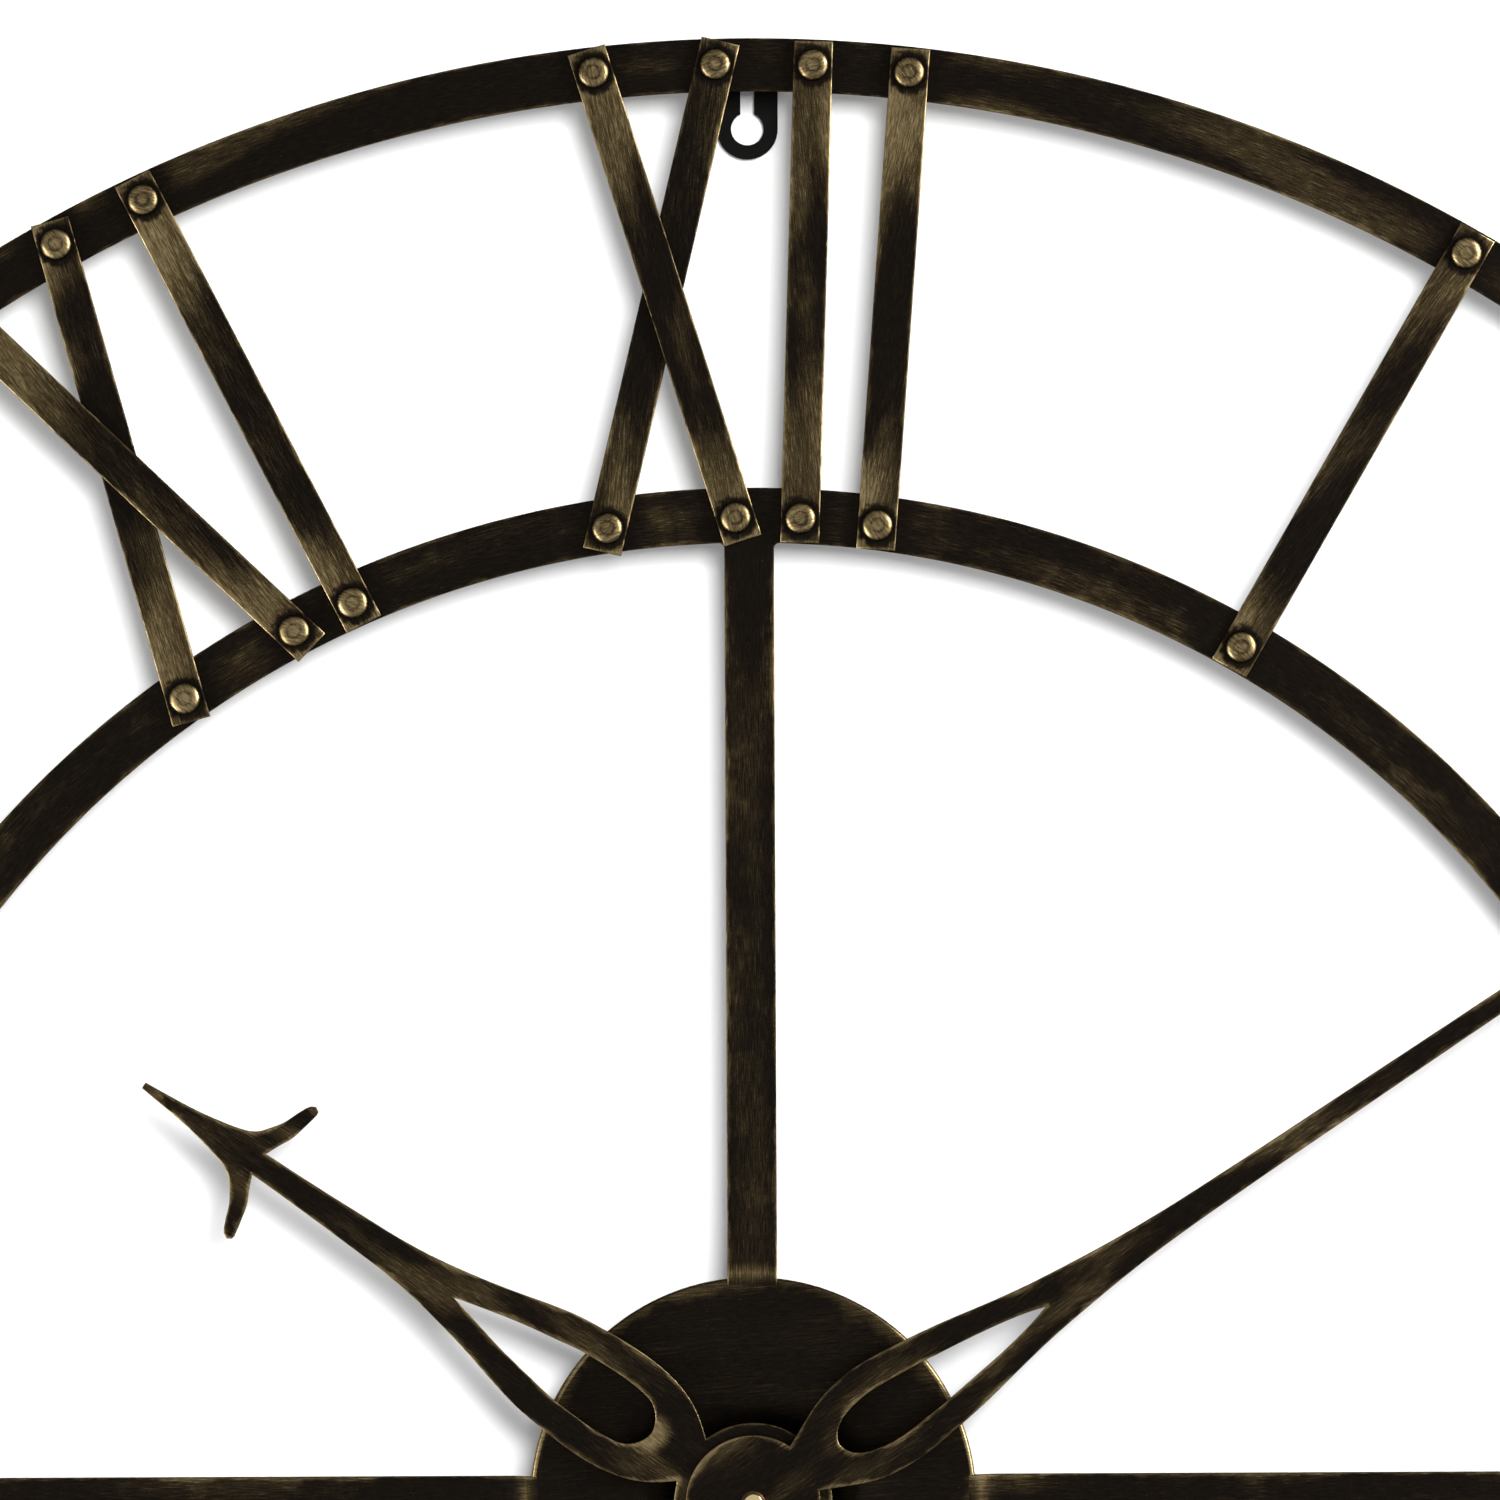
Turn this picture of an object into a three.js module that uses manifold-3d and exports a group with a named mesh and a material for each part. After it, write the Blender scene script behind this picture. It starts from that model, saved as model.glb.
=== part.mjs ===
// Wall clock: two flat metal rings joined by riveted strip numerals, a spoked
// hub, pierced hands and a battery movement behind the hub. Millimetres, +Z up.
//
// Everything is drawn in the plane of the dial: x to the right, y up and z out
// of the wall towards the room. One group at the end stands the dial upright.

import * as THREE from "three";
import { mergeVertices } from "three/addons/utils/BufferGeometryUtils.js";
import Module from "manifold-3d";

const wasm = await Module();
wasm.setup();

// ---------------------------------------------------------------- driving dimensions

// Rings, spokes and hub
const clockRadius = 400; // outside of the outer ring
const outerRingWidth = 14.5;
const innerRingRadius = 277; // outside of the inner ring
const innerRingWidth = 15;
const sheet = 2; // thickness of both rings and the spokes
const standOff = 17; // wall to the back of the rings
const spokeWidth = 13.6;
const spokeCount = 4;
const padRadius = 30; // plate in the middle of the spokes
const spokeFillet = 1.5;
const hubRadius = 61;
const hubSheet = 1.4;
const hubEdge = 1; // rounding of the hub's rim
const ringSides = 96;

// Numerals
const barWidth = 10.7;
const barSheet = 1.5;
const barOverhang = 6.6; // past the centre of each rivet
const rivetHeadRadius = 4.4;
const rivetHeadHeight = 2.2;
const rivetShankRadius = 2.25;
const rivetTailRadius = 3.4;
const rivetTailHeight = 1.2;
const rivetShoulder = 0.7; // share of the head's radius and height where its dome turns over
const rivetSides = 6;
const outerRivetInset = 7.2; // rivet centre from the outer ring's outside
const innerRivetInset = 8.2; // rivet centre from the inner ring's outside
const crossGap = 0.3; // between the two strips of an X where they cross
const letterWidth = 4.87; // V and X on the outer ring, in degrees between rivets
const crossWidth = 7.5; // X on the inner ring, in degrees between rivets
const footGap = 2.3; // between the two strips of a V on the inner ring

// Hanger
const hangerWidth = 16.8;
const hangerSheet = 1.5;
const hangerDrop = 31.8; // lowest point of the tab below the top of the clock
const hangerLegInset = 1.5; // front leg from the top of the clock
const keyholeRadius = 4.5;
const keyholeSlot = 3.8;
const keyholeSlotLength = 10.4; // from the centre of the round hole

// Hands
const handSheet = 1;
const hourBossRadius = 21.6;
const minuteBossRadius = 18.4;
const handNutRadius = 3.4;
const handNutHeight = 2.8;
const hourAngle = 304.6; // clockwise from twelve
const minuteAngle = 56.4;
const handLift = 1.2; // clear height under each hand
const limbRoot = 0.66; // a limb's width where it leaves the boss, as a share of its first width
const limbSteps = 18;
const loopSteps = 14;
const bossSteps = 22;

// Movement
const caseSize = 56;
const caseDepth = 16;
const caseWall = 1.5;
const faceWall = 1.2;
const coverSheet = 1.5;
const gasketRadius = 12;
const bushRadius = 4.9;
const nutAcrossFlats = 14;
const nutHeight = 2.2;
const hourPipeRadius = 2.7;
const minuteShaftRadius = 1.6;
const threadRadius = 1.4;
const batteryRadius = 7;
const batteryLength = 50;
const batteryNub = 1.2;
const batteryNubRadius = 2.6;
const knobRadius = 5;
const pivotRadius = 0.4;
const arborRadius = 0.6;
const postRadius = 1.5;

// Clearances
const gap = 0.3; // between pieces that move or drop in
const pressGap = 0.1; // between a hand and the pipe that it is pressed on
const pivotGap = 0.1; // round a pivot or a stud in its hole

// ---------------------------------------------------------------- shape helpers

const deg = Math.PI / 180;

// A closed geometry as a manifold-3d solid.
function solid(geometry) {
  const bare = geometry.index ? geometry.toNonIndexed() : geometry.clone();
  bare.deleteAttribute("normal");
  bare.deleteAttribute("uv");
  const merged = mergeVertices(bare, 1e-4);
  return new wasm.Manifold(
    new wasm.Mesh({
      numProp: 3,
      vertProperties: new Float32Array(merged.attributes.position.array),
      triVerts: new Uint32Array(merged.index.array),
    }),
  );
}

// A manifold-3d solid as a three.js geometry.
function geometryOf(body) {
  const mesh = body.getMesh();
  const positions = new Float32Array(mesh.numVert * 3);
  for (let i = 0; i < mesh.numVert; i++) {
    const start = i * mesh.numProp;
    positions.set(mesh.vertProperties.subarray(start, start + 3), i * 3);
  }
  const geometry = new THREE.BufferGeometry();
  geometry.setAttribute("position", new THREE.BufferAttribute(positions, 3));
  geometry.setIndex(new THREE.BufferAttribute(new Uint32Array(mesh.triVerts), 1));
  geometry.computeVertexNormals();
  return geometry;
}

const join = (bodies) => bodies.reduce((all, body) => all.add(body));
const cut = (body, tools) => tools.reduce((left, tool) => left.subtract(tool), body);

// A flat shape given thickness from z0 to z1.
function plate(shape, z0, z1, curveSegments = 12) {
  const options = { depth: z1 - z0, bevelEnabled: false, curveSegments };
  return new THREE.ExtrudeGeometry(shape, options).translate(0, 0, z0);
}

// A closed outline of [radius, z] points turned about z, moved to x, y.
function turned(profile, sides, x = 0, y = 0) {
  const points = profile.map(([r, z]) => new THREE.Vector2(r, z));
  return new THREE.LatheGeometry(points, sides).rotateX(Math.PI / 2).translate(x, y, 0);
}

// A rod or disc about z.
const rod = (r, z0, z1, sides = 16, x = 0, y = 0) =>
  turned([[0, z0], [r, z0], [r, z1], [0, z1]], sides, x, y);

// A tube about z.
const tube = (r0, r1, z0, z1, sides = 16, x = 0, y = 0) =>
  turned([[r0, z0], [r1, z0], [r1, z1], [r0, z1], [r0, z0]], sides, x, y);

// A block between two corners.
function block([x0, y0, z0], [x1, y1, z1]) {
  const box = new THREE.BoxGeometry(x1 - x0, y1 - y0, z1 - z0);
  return box.translate((x0 + x1) / 2, (y0 + y1) / 2, (z0 + z1) / 2);
}

// The circle through the corners of a polygon whose flats clear a given radius.
const bore = (radius, sides) => radius / Math.cos(Math.PI / sides);

const outline = (points) => new THREE.Shape(points.map(([x, y]) => new THREE.Vector2(x, y)));
const holeOf = (points) =>
  new THREE.Path(points.map((p) => (Array.isArray(p) ? new THREE.Vector2(...p) : p)));

// Points of a regular polygon, first corner at the given angle.
function polygon(radius, sides, turn = 0, x = 0, y = 0) {
  return Array.from({ length: sides }, (_, i) => {
    const a = turn + (i * 2 * Math.PI) / sides;
    return [x + radius * Math.cos(a), y + radius * Math.sin(a)];
  });
}

// A point at a clock angle, in degrees clockwise from twelve.
const atClock = (radius, angle) =>
  new THREE.Vector2(radius * Math.sin(angle * deg), radius * Math.cos(angle * deg));

// ---------------------------------------------------------------- materials

const finish = (color, roughness, metalness) => ({ color, roughness, metalness });
const finishes = {
  patina: finish(0x2a231a, 0.5, 0.85), // dark iron with rubbed antique gold
  hanger: finish(0x0c0c0c, 0.6, 0.3),
  brass: finish(0xc79a4a, 0.25, 1),
  plastic: finish(0x151515, 0.55, 0),
  rubber: finish(0x101010, 0.9, 0),
  gear: finish(0xe8e4d8, 0.5, 0),
  steel: finish(0x9a9c9e, 0.35, 1),
  copper: finish(0xa5562c, 0.4, 0.9),
  board: finish(0x2c5a34, 0.5, 0),
  battery: finish(0x2f3336, 0.4, 0.4),
};

const dial = new THREE.Group();

// Adds one named piece to a group, from a geometry or a manifold-3d solid.
function piece(name, shape, look, parent = dial) {
  const geometry = shape.isBufferGeometry ? shape : geometryOf(shape);
  const mesh = new THREE.Mesh(geometry, new THREE.MeshStandardMaterial(finishes[look]));
  mesh.name = name;
  parent.add(mesh);
  return mesh;
}

// ---------------------------------------------------------------- heights above the wall

const ringBack = standOff;
const ringFront = ringBack + sheet;
const barFront = ringFront + barSheet;
const hubFront = ringFront + hubSheet;
const nutFront = hubFront + nutHeight;
const hourHandBack = nutFront + handLift;
const hourHandFront = hourHandBack + handSheet;
const minuteHandBack = hourHandFront + handLift;
const minuteHandFront = minuteHandBack + handSheet;

// ---------------------------------------------------------------- numerals

const outerRivetRadius = clockRadius - outerRivetInset;
const innerRivetRadius = innerRingRadius - innerRivetInset;

// Each letter's strips, in degrees from its first outer rivet: [outer, inner] of
// each strip, the letter's width on each ring and the space to the next letter.
const footPitch = (barWidth + footGap) / innerRivetRadius / deg;
const letters = {
  I: { strips: [[0, 0]], width: [0, 0], next: [3.85, 4.5] },
  V: {
    strips: [[0, (letterWidth - footPitch) / 2], [letterWidth, (letterWidth + footPitch) / 2]],
    width: [letterWidth, letterWidth],
    next: [3.85, 3.85],
  },
  X: {
    strips: [[0, crossWidth], [letterWidth, 0]],
    width: [letterWidth, crossWidth],
    next: [3.9, 3.78],
  },
};
const numerals = ["I", "II", "III", "IV", "V", "VI", "VII", "VIII", "IX", "X", "XI", "XII"];
// How far a numeral is riveted off its hour, in degrees: [outer, inner].
const offHour = { XI: [0.73, 0.56], XII: [0.17, -0.39] };

// Every strip of every numeral, with the places of its two rivets. Of the two
// strips of an X, the first crosses over the second.
function layOut(numeral, hour) {
  const start = [0, 0];
  const end = [0, 0];
  const strips = [];
  for (const letter of numeral) {
    const { strips: own, width, next } = letters[letter];
    own.forEach(([outer, inner], i) =>
      strips.push({
        outer: start[0] + outer,
        inner: start[1] + inner,
        over: letter === "X" && i === 0,
        partner: letter === "X" ? strips.length + (i === 0 ? 1 : -1) : null,
      }),
    );
    for (const ring of [0, 1]) {
      end[ring] = start[ring] + width[ring];
      start[ring] = end[ring] + next[ring];
    }
  }
  const shift = offHour[numeral] ?? [0, 0];
  return strips.map((strip, i) => ({
    name: `numeral_${numeral}_bar_${i + 1}`,
    over: strip.over,
    partner: strip.partner,
    outer: atClock(outerRivetRadius, hour * 30 - end[0] / 2 + strip.outer + shift[0]),
    inner: atClock(innerRivetRadius, hour * 30 - end[1] / 2 + strip.inner + shift[1]),
  }));
}
const layouts = numerals.map((numeral, i) => layOut(numeral, i + 1));
const strips = layouts.flat();
const directionOf = ({ inner, outer }) => Math.atan2(outer.y - inner.y, outer.x - inner.x);

// Where the lines of two strips cross: distance from the first one's inner rivet,
// and how far along it they lie on each other.
function crossing(strip, other) {
  const along = strip.outer.clone().sub(strip.inner).normalize();
  const across = other.outer.clone().sub(other.inner).normalize();
  const sine = Math.abs(along.cross(across));
  const cosine = Math.abs(along.dot(across));
  const apart = other.inner.clone().sub(strip.inner);
  const distance = apart.cross(across) / along.cross(across);
  return { distance, half: (barWidth * (1 + cosine)) / (2 * sine) };
}

// A strip lying along x from its inner rivet at the origin, on the rings' front.
function barSolid(strip, crossed) {
  const length = strip.outer.distanceTo(strip.inner);
  const start = -barOverhang;
  const end = length + barOverhang;
  const side = [[start, 0]];
  if (crossed) {
    const { distance, half } = crossing(strip, crossed);
    const lift = barSheet + crossGap;
    const edge = innerRingRadius - innerRivetRadius;
    side.push([edge, 0], [distance - half, lift], [distance + half, lift], [length - edge, 0]);
  }
  side.push([end, 0]);
  const top = side.map(([x, z]) => [x, z + barSheet]).reverse();
  const profile = new THREE.ExtrudeGeometry(outline([...side, ...top]), {
    depth: barWidth,
    bevelEnabled: false,
  });
  // The side view is drawn in x and z, then laid along the strip's width.
  profile.rotateX(Math.PI / 2).translate(0, barWidth / 2, ringFront);

  const rivets = [0, length].map((x) => rivetSolid(x));
  return join([solid(profile), ...rivets]);
}

// A rivet through the strip and the ring, domed in front and closed over behind.
function rivetSolid(x) {
  const head = rivetHeadRadius;
  const crown = barFront + rivetHeadHeight;
  const profile = [
    [0, ringBack - rivetTailHeight],
    [rivetTailRadius, ringBack - rivetTailHeight],
    [rivetTailRadius, ringBack],
    [rivetShankRadius, ringBack],
    [rivetShankRadius, ringFront + barSheet / 2],
    [head, ringFront + barSheet / 2],
    [head, barFront],
    [head * rivetShoulder, barFront + rivetHeadHeight * rivetShoulder],
    [0, crown],
  ];
  return solid(turned(profile, rivetSides, x, 0));
}

for (const layout of layouts) {
  for (const strip of layout) {
    const crossed = strip.over ? layout[strip.partner] : null;
    const bar = piece(strip.name, barSolid(strip, crossed), "patina");
    bar.position.set(strip.inner.x, strip.inner.y, 0);
    bar.rotation.z = directionOf(strip);
  }
}

// Holes for the rivets in one ring, their corners in line with the shanks'.
const rivetHoles = (end) =>
  strips.map((strip) => {
    const radius = rivetShankRadius + bore(gap, rivetSides);
    const turn = directionOf(strip) + Math.PI / 2;
    return holeOf(polygon(radius, rivetSides, turn, strip[end].x, strip[end].y));
  });

// ---------------------------------------------------------------- rings, spokes and hub

const circle = (radius, sides) => polygon(radius, sides);

const outerRing = outline(circle(clockRadius, ringSides));
outerRing.holes.push(holeOf(circle(clockRadius - outerRingWidth, ringSides)));
outerRing.holes.push(...rivetHoles("outer"));
piece("outer_ring", plate(outerRing, ringBack, ringFront), "patina");

// Points along an arc, both ends included.
function arc(x, y, radius, start, end, count) {
  return Array.from({ length: count + 1 }, (_, i) => {
    const a = start + ((end - start) * i) / count;
    return new THREE.Vector2(x + radius * Math.cos(a), y + radius * Math.sin(a));
  });
}

// One opening between two spokes, from a spoke along x round to the next one.
function spokeOpening() {
  const reach = innerRingRadius - innerRingWidth;
  const edge = spokeWidth / 2;
  const step = (2 * Math.PI) / spokeCount;
  // A fillet stands in each corner between a spoke and the ring.
  const lean = Math.asin((edge + spokeFillet) / (reach - spokeFillet));
  const centre = new THREE.Vector2((reach - spokeFillet) * Math.cos(lean), edge + spokeFillet);
  const mirrored = new THREE.Vector2(centre.x, -centre.y).rotateAround(new THREE.Vector2(), step);
  const pad = Math.asin(edge / padRadius);
  return [
    ...arc(centre.x, centre.y, spokeFillet, -Math.PI / 2, lean, 3),
    ...arc(0, 0, reach, lean, step - lean, ringSides / spokeCount).slice(1, -1),
    ...arc(mirrored.x, mirrored.y, spokeFillet, step - lean, step + Math.PI / 2, 3),
    ...arc(0, 0, padRadius, step - pad, pad, 6),
  ];
}

// Points of a path turned about the centre.
const spin = (points, angle) =>
  points.map((p) => new THREE.Vector2(p.x, p.y).rotateAround(new THREE.Vector2(), angle));

const spokedRing = outline(circle(innerRingRadius, ringSides));
for (let i = 0; i < spokeCount; i++) {
  spokedRing.holes.push(holeOf(spin(spokeOpening(), (i * 2 * Math.PI) / spokeCount)));
}
const bushSides = 24;
const bushHole = bore(bushRadius + gap, bushSides);
spokedRing.holes.push(holeOf(circle(bushHole, bushSides)));
spokedRing.holes.push(...rivetHoles("inner"));
piece("spoked_inner_ring", plate(spokedRing, ringBack, ringFront), "patina");

// The hub: a disc with a rounded rim, laid over the roots of the spokes.
const rimArc = [0, 45, 90].map((a) => [
  hubRadius - hubEdge + hubEdge * Math.cos(a * deg),
  hubFront - hubEdge + hubEdge * Math.sin(a * deg),
]);
const hubProfile = [
  [bushHole, ringFront], [hubRadius, ringFront], ...rimArc, [bushHole, hubFront],
  [bushHole, ringFront],
];
piece("hub_disc", turned(hubProfile, 48), "patina");

// ---------------------------------------------------------------- hanger

const hangerTop = clockRadius - hangerLegInset;
const hangerFoot = clockRadius - hangerDrop + hangerWidth / 2; // centre of the round end
const hangerTab = new THREE.Shape();
hangerTab.absarc(0, hangerFoot, hangerWidth / 2, Math.PI, 2 * Math.PI, false);
hangerTab.lineTo(hangerWidth / 2, hangerTop);
hangerTab.lineTo(-hangerWidth / 2, hangerTop);
const keyhole = new THREE.Path();
const neck = Math.asin(keyholeSlot / 2 / keyholeRadius);
keyhole.absarc(0, hangerFoot, keyholeRadius, Math.PI / 2 + neck, Math.PI / 2 - neck + 2 * Math.PI, false);
keyhole.absarc(0, hangerFoot + keyholeSlotLength, keyholeSlot / 2, 0, Math.PI, false);
hangerTab.holes.push(keyhole);
const hangerLeg = block(
  [-hangerWidth / 2, hangerTop - hangerSheet, 0],
  [hangerWidth / 2, hangerTop, ringBack],
);
piece(
  "hanger_bracket",
  join([solid(plate(hangerTab, 0, hangerSheet)), solid(hangerLeg)]),
  "hanger",
);

// ---------------------------------------------------------------- hands

// Half outlines along the hand, as [distance from the axis, half width].
const hourLimb = [
  [25, 10.6], [30, 13.4], [36, 15.3], [46, 16.6], [60, 15.9], [70, 14.7], [80, 12.3],
  [90, 9.8], [100, 7.7], [110, 6], [120, 5], [145, 3.9],
];
const hourLoop = [
  [34.4, 3], [37, 6], [41, 7.6], [50, 8.2], [62, 7.5], [70, 6.2], [80, 4.5], [90, 2.2],
];
const minuteLimb = [
  [25, 11], [30, 13.1], [36, 14.6], [46, 15.2], [60, 13.7], [70, 12.2], [80, 10.3],
  [90, 8.5], [100, 7.1], [120, 5], [140, 3.9], [170, 3.4], [247, 2.8],
];
const minuteLoop = [
  [29.6, 3], [33, 5.5], [39, 7.1], [46, 7.4], [60, 6.2], [70, 5], [80, 3.6], [90, 1.7],
];
const hourHand = {
  boss: hourBossRadius, limb: hourLimb, loop: hourLoop, loopEnds: [33.6, 98.8],
  neck: 3.4, barbs: 163.3, angle: hourAngle,
};
const minuteHand = {
  boss: minuteBossRadius, limb: minuteLimb, loop: minuteLoop, loopEnds: [28.4, 95.8],
  neck: 2.7, barbs: 277, angle: minuteAngle,
};
// The barbed head, measured from the root of its barbs.
const headUnder = [[-1.8, 7.5], [-3.3, 10.5], [-4.6, 15.5], [-5.5, 20]];
const headEnd = [[-5.3, 21], [-4, 21.7], [-2.7, 21]];
const headFront = [
  [-1.3, 18.5], [1, 13], [3.2, 9.8], [5.2, 7.4], [7, 6.2], [10, 5.1], [15, 3.9], [22, 2.6],
  [30, 1.7],
];
const headTip = [38.2, 0.95];

// A smooth curve through points, as points.
const smooth = (points, count) =>
  new THREE.SplineCurve(points.map(([x, y]) => new THREE.Vector2(x, y)))
    .getPoints(count)
    .map((p) => [p.x, p.y]);

function handSolid(hand, boreRadius, back) {
  const rootWidth = hand.limb[0][1] * limbRoot;
  const root = Math.sqrt(hand.boss ** 2 - rootWidth ** 2);
  const head = (points) => points.map(([a, c]) => [hand.barbs + a, c]);
  const side = [
    ...smooth([[root, rootWidth], ...hand.limb, [hand.barbs, hand.neck]], limbSteps),
    ...head([...headUnder, ...headEnd, ...headFront, headTip]),
  ];
  const rootAngle = Math.atan2(rootWidth, root);
  const bossArc = Array.from({ length: bossSteps - 1 }, (_, i) => {
    const a = rootAngle + (i + 1) * ((2 * Math.PI - 2 * rootAngle) / bossSteps);
    return [hand.boss * Math.cos(a), hand.boss * Math.sin(a)];
  });
  // Up one side to the tip, down the other and back round the boss.
  const otherSide = side.map(([a, c]) => [a, -c]);
  const shape = outline([...otherSide, ...[...side].reverse(), ...bossArc]);
  const [loopStart, loopEnd] = hand.loopEnds;
  const loopSide = smooth([[loopStart, 0], ...hand.loop, [loopEnd, 0]], loopSteps);
  const loopBack = loopSide.map(([a, c]) => [a, -c]).reverse();
  shape.holes.push(holeOf([...loopSide, ...loopBack.slice(1, -1)]));
  shape.holes.push(holeOf(circle(bore(boreRadius + pressGap, 16), 16)));
  return plate(shape, back, back + handSheet);
}

function placeHand(name, hand, boreRadius, back) {
  const mesh = piece(name, handSolid(hand, boreRadius, back), "patina");
  mesh.rotation.z = Math.PI / 2 - hand.angle * deg;
}
placeHand("hour_hand", hourHand, hourPipeRadius, hourHandBack);
placeHand("minute_hand", minuteHand, minuteShaftRadius, minuteHandBack);

// A closed brass nut with a low domed crown, screwed on the minute shaft. The
// crown is drawn in shares of the nut's radius and height.
const nutCrown = [[1, 0], [1, 0.45], [0.75, 0.85], [0.3, 1], [0, 1]];
const nutRoof = 1; // metal over the thread
const nutThread = handNutHeight - nutRoof;
const nutBore = bore(threadRadius + pressGap, 16);
const handNutProfile = [
  [nutBore, 0], ...nutCrown.map(([r, z]) => [r * handNutRadius, z * handNutHeight]),
  [0, nutThread], [nutBore, nutThread], [nutBore, 0],
].map(([r, z]) => [r, minuteHandFront + z]);
piece("hand_nut", turned(handNutProfile, 16), "brass");

// ---------------------------------------------------------------- movement case

const inside = caseSize / 2 - caseWall; // half the room inside the case
const faceInside = caseDepth - faceWall;
const overlap = 0.1; // how far bodies of one piece run into each other
const bayTop = 2 * batteryRadius + 2 * gap - inside; // battery bay's upper side
const coverFoot = bayTop + caseWall / 2; // lower edge of the back cover

// The battery lies along x, with a contact past each end.
const batteryShift = 0.4; // towards its nub, to leave room for the spring
const batteryY = -inside + gap + batteryRadius;
const batteryZ = batteryRadius + 0.4;
const batteryStart = batteryShift - batteryLength / 2;
const batteryEnd = batteryStart + batteryLength;
const contactPosition = batteryEnd + gap;
const contactThick = 0.3;
const contactRoom = 1.7; // from the wall of the bay to each contact

// Meshing pairs of the train, with the direction from the wheel's axis to the
// pinion's in degrees.
const pairs = {
  centre: { wheel: 48, pinion: 6, module: 0.37, angle: 35 },
  third: { wheel: 45, pinion: 6, module: 0.33, angle: 80 },
  seconds: { wheel: 36, pinion: 6, module: 0.33, angle: 170 },
  intermediate: { wheel: 30, pinion: 6, module: 0.33, angle: 180 },
  minute: { wheel: 36, pinion: 12, module: 0.4, angle: 330 },
  hour: { wheel: 40, pinion: 10, module: 0.384, angle: 150 },
  setting: { wheel: 36, pinion: 10, module: 0.4, angle: 240 },
};
function meshedAxis([x, y], pair, angle) {
  const distance = (pair.module * (pair.wheel + pair.pinion)) / 2;
  return [x + distance * Math.cos(angle * deg), y + distance * Math.sin(angle * deg)];
}
const pinionAxis = (wheelAxis, pair) => meshedAxis(wheelAxis, pair, pair.angle);
const wheelAxis = (ofPinion, pair) => meshedAxis(ofPinion, pair, pair.angle + 180);
const centreAxis = [0, 0];
const thirdAxis = pinionAxis(centreAxis, pairs.centre);
const secondsAxis = pinionAxis(thirdAxis, pairs.third);
const intermediateAxis = pinionAxis(secondsAxis, pairs.seconds);
const rotorAxis = pinionAxis(intermediateAxis, pairs.intermediate);
const minuteAxis = wheelAxis(centreAxis, pairs.minute);
const knobAxis = pinionAxis(minuteAxis, pairs.setting);

// Levels of the train above the wall.
const wheelThick = 0.8;
const thirdLevel = 3.6;
const secondsLevel = 5.4;
const centreLevel = 6.4;
const intermediateLevel = 7.6;
const minuteLevel = 9.3;
const hourLevel = 12;
const statorLevel = 4.6;
const statorThick = 1.3;
const boardLevel = 2;
const boardThick = 1;

// Ends of the bearing posts: on the back cover for each arbor, and on the case front.
const centrePost = 4;
const thirdPost = 2.9;
const secondsPost = 2.7;
const intermediatePost = 4.2;
const rotorPost = 3.2;
const frontPosts = 9;
const knobPost = 11.2;

const pivotBore = bore(pivotRadius + pivotGap, 8);
const pivotHole = 1.8; // depth of the hole in a post
const pivotReach = 1.2; // how far a pivot goes into it

// A bearing post with a blind hole for a pivot, from its root to its open end.
function post([x, y], root, end) {
  const floor = end - Math.sign(end - root) * Math.min(pivotHole, Math.abs(end - root));
  const profile = [
    [0, root], [postRadius, root], [postRadius, end], [pivotBore, end], [pivotBore, floor],
    [0, floor],
  ];
  return solid(turned(end > root ? profile : profile.reverse(), 8, x, y));
}

// Case front: a tray with the battery bay open behind and the threaded bush in front.
const caseHalf = caseSize / 2;
const past = 1; // how far a cutting body runs past what it cuts
const caseShell = cut(solid(block([-caseHalf, -caseHalf, 0], [caseHalf, caseHalf, caseDepth])), [
  solid(block([-inside, -inside, -past], [inside, inside, faceInside])),
  solid(block([-caseHalf - past, coverFoot, -past], [caseHalf + past, caseHalf + past, coverSheet])),
]);
const bayWallEnd = contactPosition - contactRoom;
const bayWall = solid(
  block([-bayWallEnd, bayTop, coverSheet], [bayWallEnd, bayTop + caseWall, faceInside + overlap]),
);
const bushEnd = nutFront + gap;
const bush = solid(rod(bushRadius, caseDepth - overlap, bushEnd, bushSides));
const pipeHole = solid(rod(bore(hourPipeRadius + gap, 16), faceInside - past, bushEnd + past, 16));
const stud = solid(rod(arborRadius, minuteLevel - gap, faceInside + overlap, 8, ...minuteAxis));
const frontBearings = [thirdAxis, secondsAxis, intermediateAxis, rotorAxis].map((axis) =>
  post(axis, faceInside + overlap, frontPosts),
);
const knobBearing = post(knobAxis, faceInside + overlap, knobPost);
piece(
  "movement_front_case",
  join([caseShell, bayWall, bush, stud, ...frontBearings, knobBearing]).subtract(pipeHole),
  "plastic",
);

// Back cover: closes the gear room, with bearings and a hole for the setting knob.
const postRoot = coverSheet - overlap;
const backBearings = [
  post(centreAxis, postRoot, centrePost),
  post(thirdAxis, postRoot, thirdPost),
  post(secondsAxis, postRoot, secondsPost),
  post(intermediateAxis, postRoot, intermediatePost),
  post(rotorAxis, postRoot, rotorPost),
];
const boardMiddle = inside - 4; // up the dial
const boardSupports = [-boardMiddle, boardMiddle].map((x) =>
  solid(rod(postRadius, postRoot, boardLevel, 8, x, boardMiddle)),
);
const statorSupports = [-22.5, -12].map((x) =>
  solid(rod(postRadius, postRoot, statorLevel, 8, x, rotorAxis[1])),
);
const knobHole = solid(rod(bore(knobRadius + gap, 24), -past, coverSheet + past, 24, ...knobAxis));
piece(
  "movement_back_cover",
  join([
    solid(block([-caseHalf, coverFoot, 0], [caseHalf, caseHalf, coverSheet])),
    ...backBearings, ...boardSupports, ...statorSupports,
  ]).subtract(knobHole),
  "plastic",
);

piece("rubber_gasket", tube(bushHole, gasketRadius, caseDepth, ringBack, bushSides), "rubber");

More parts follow.
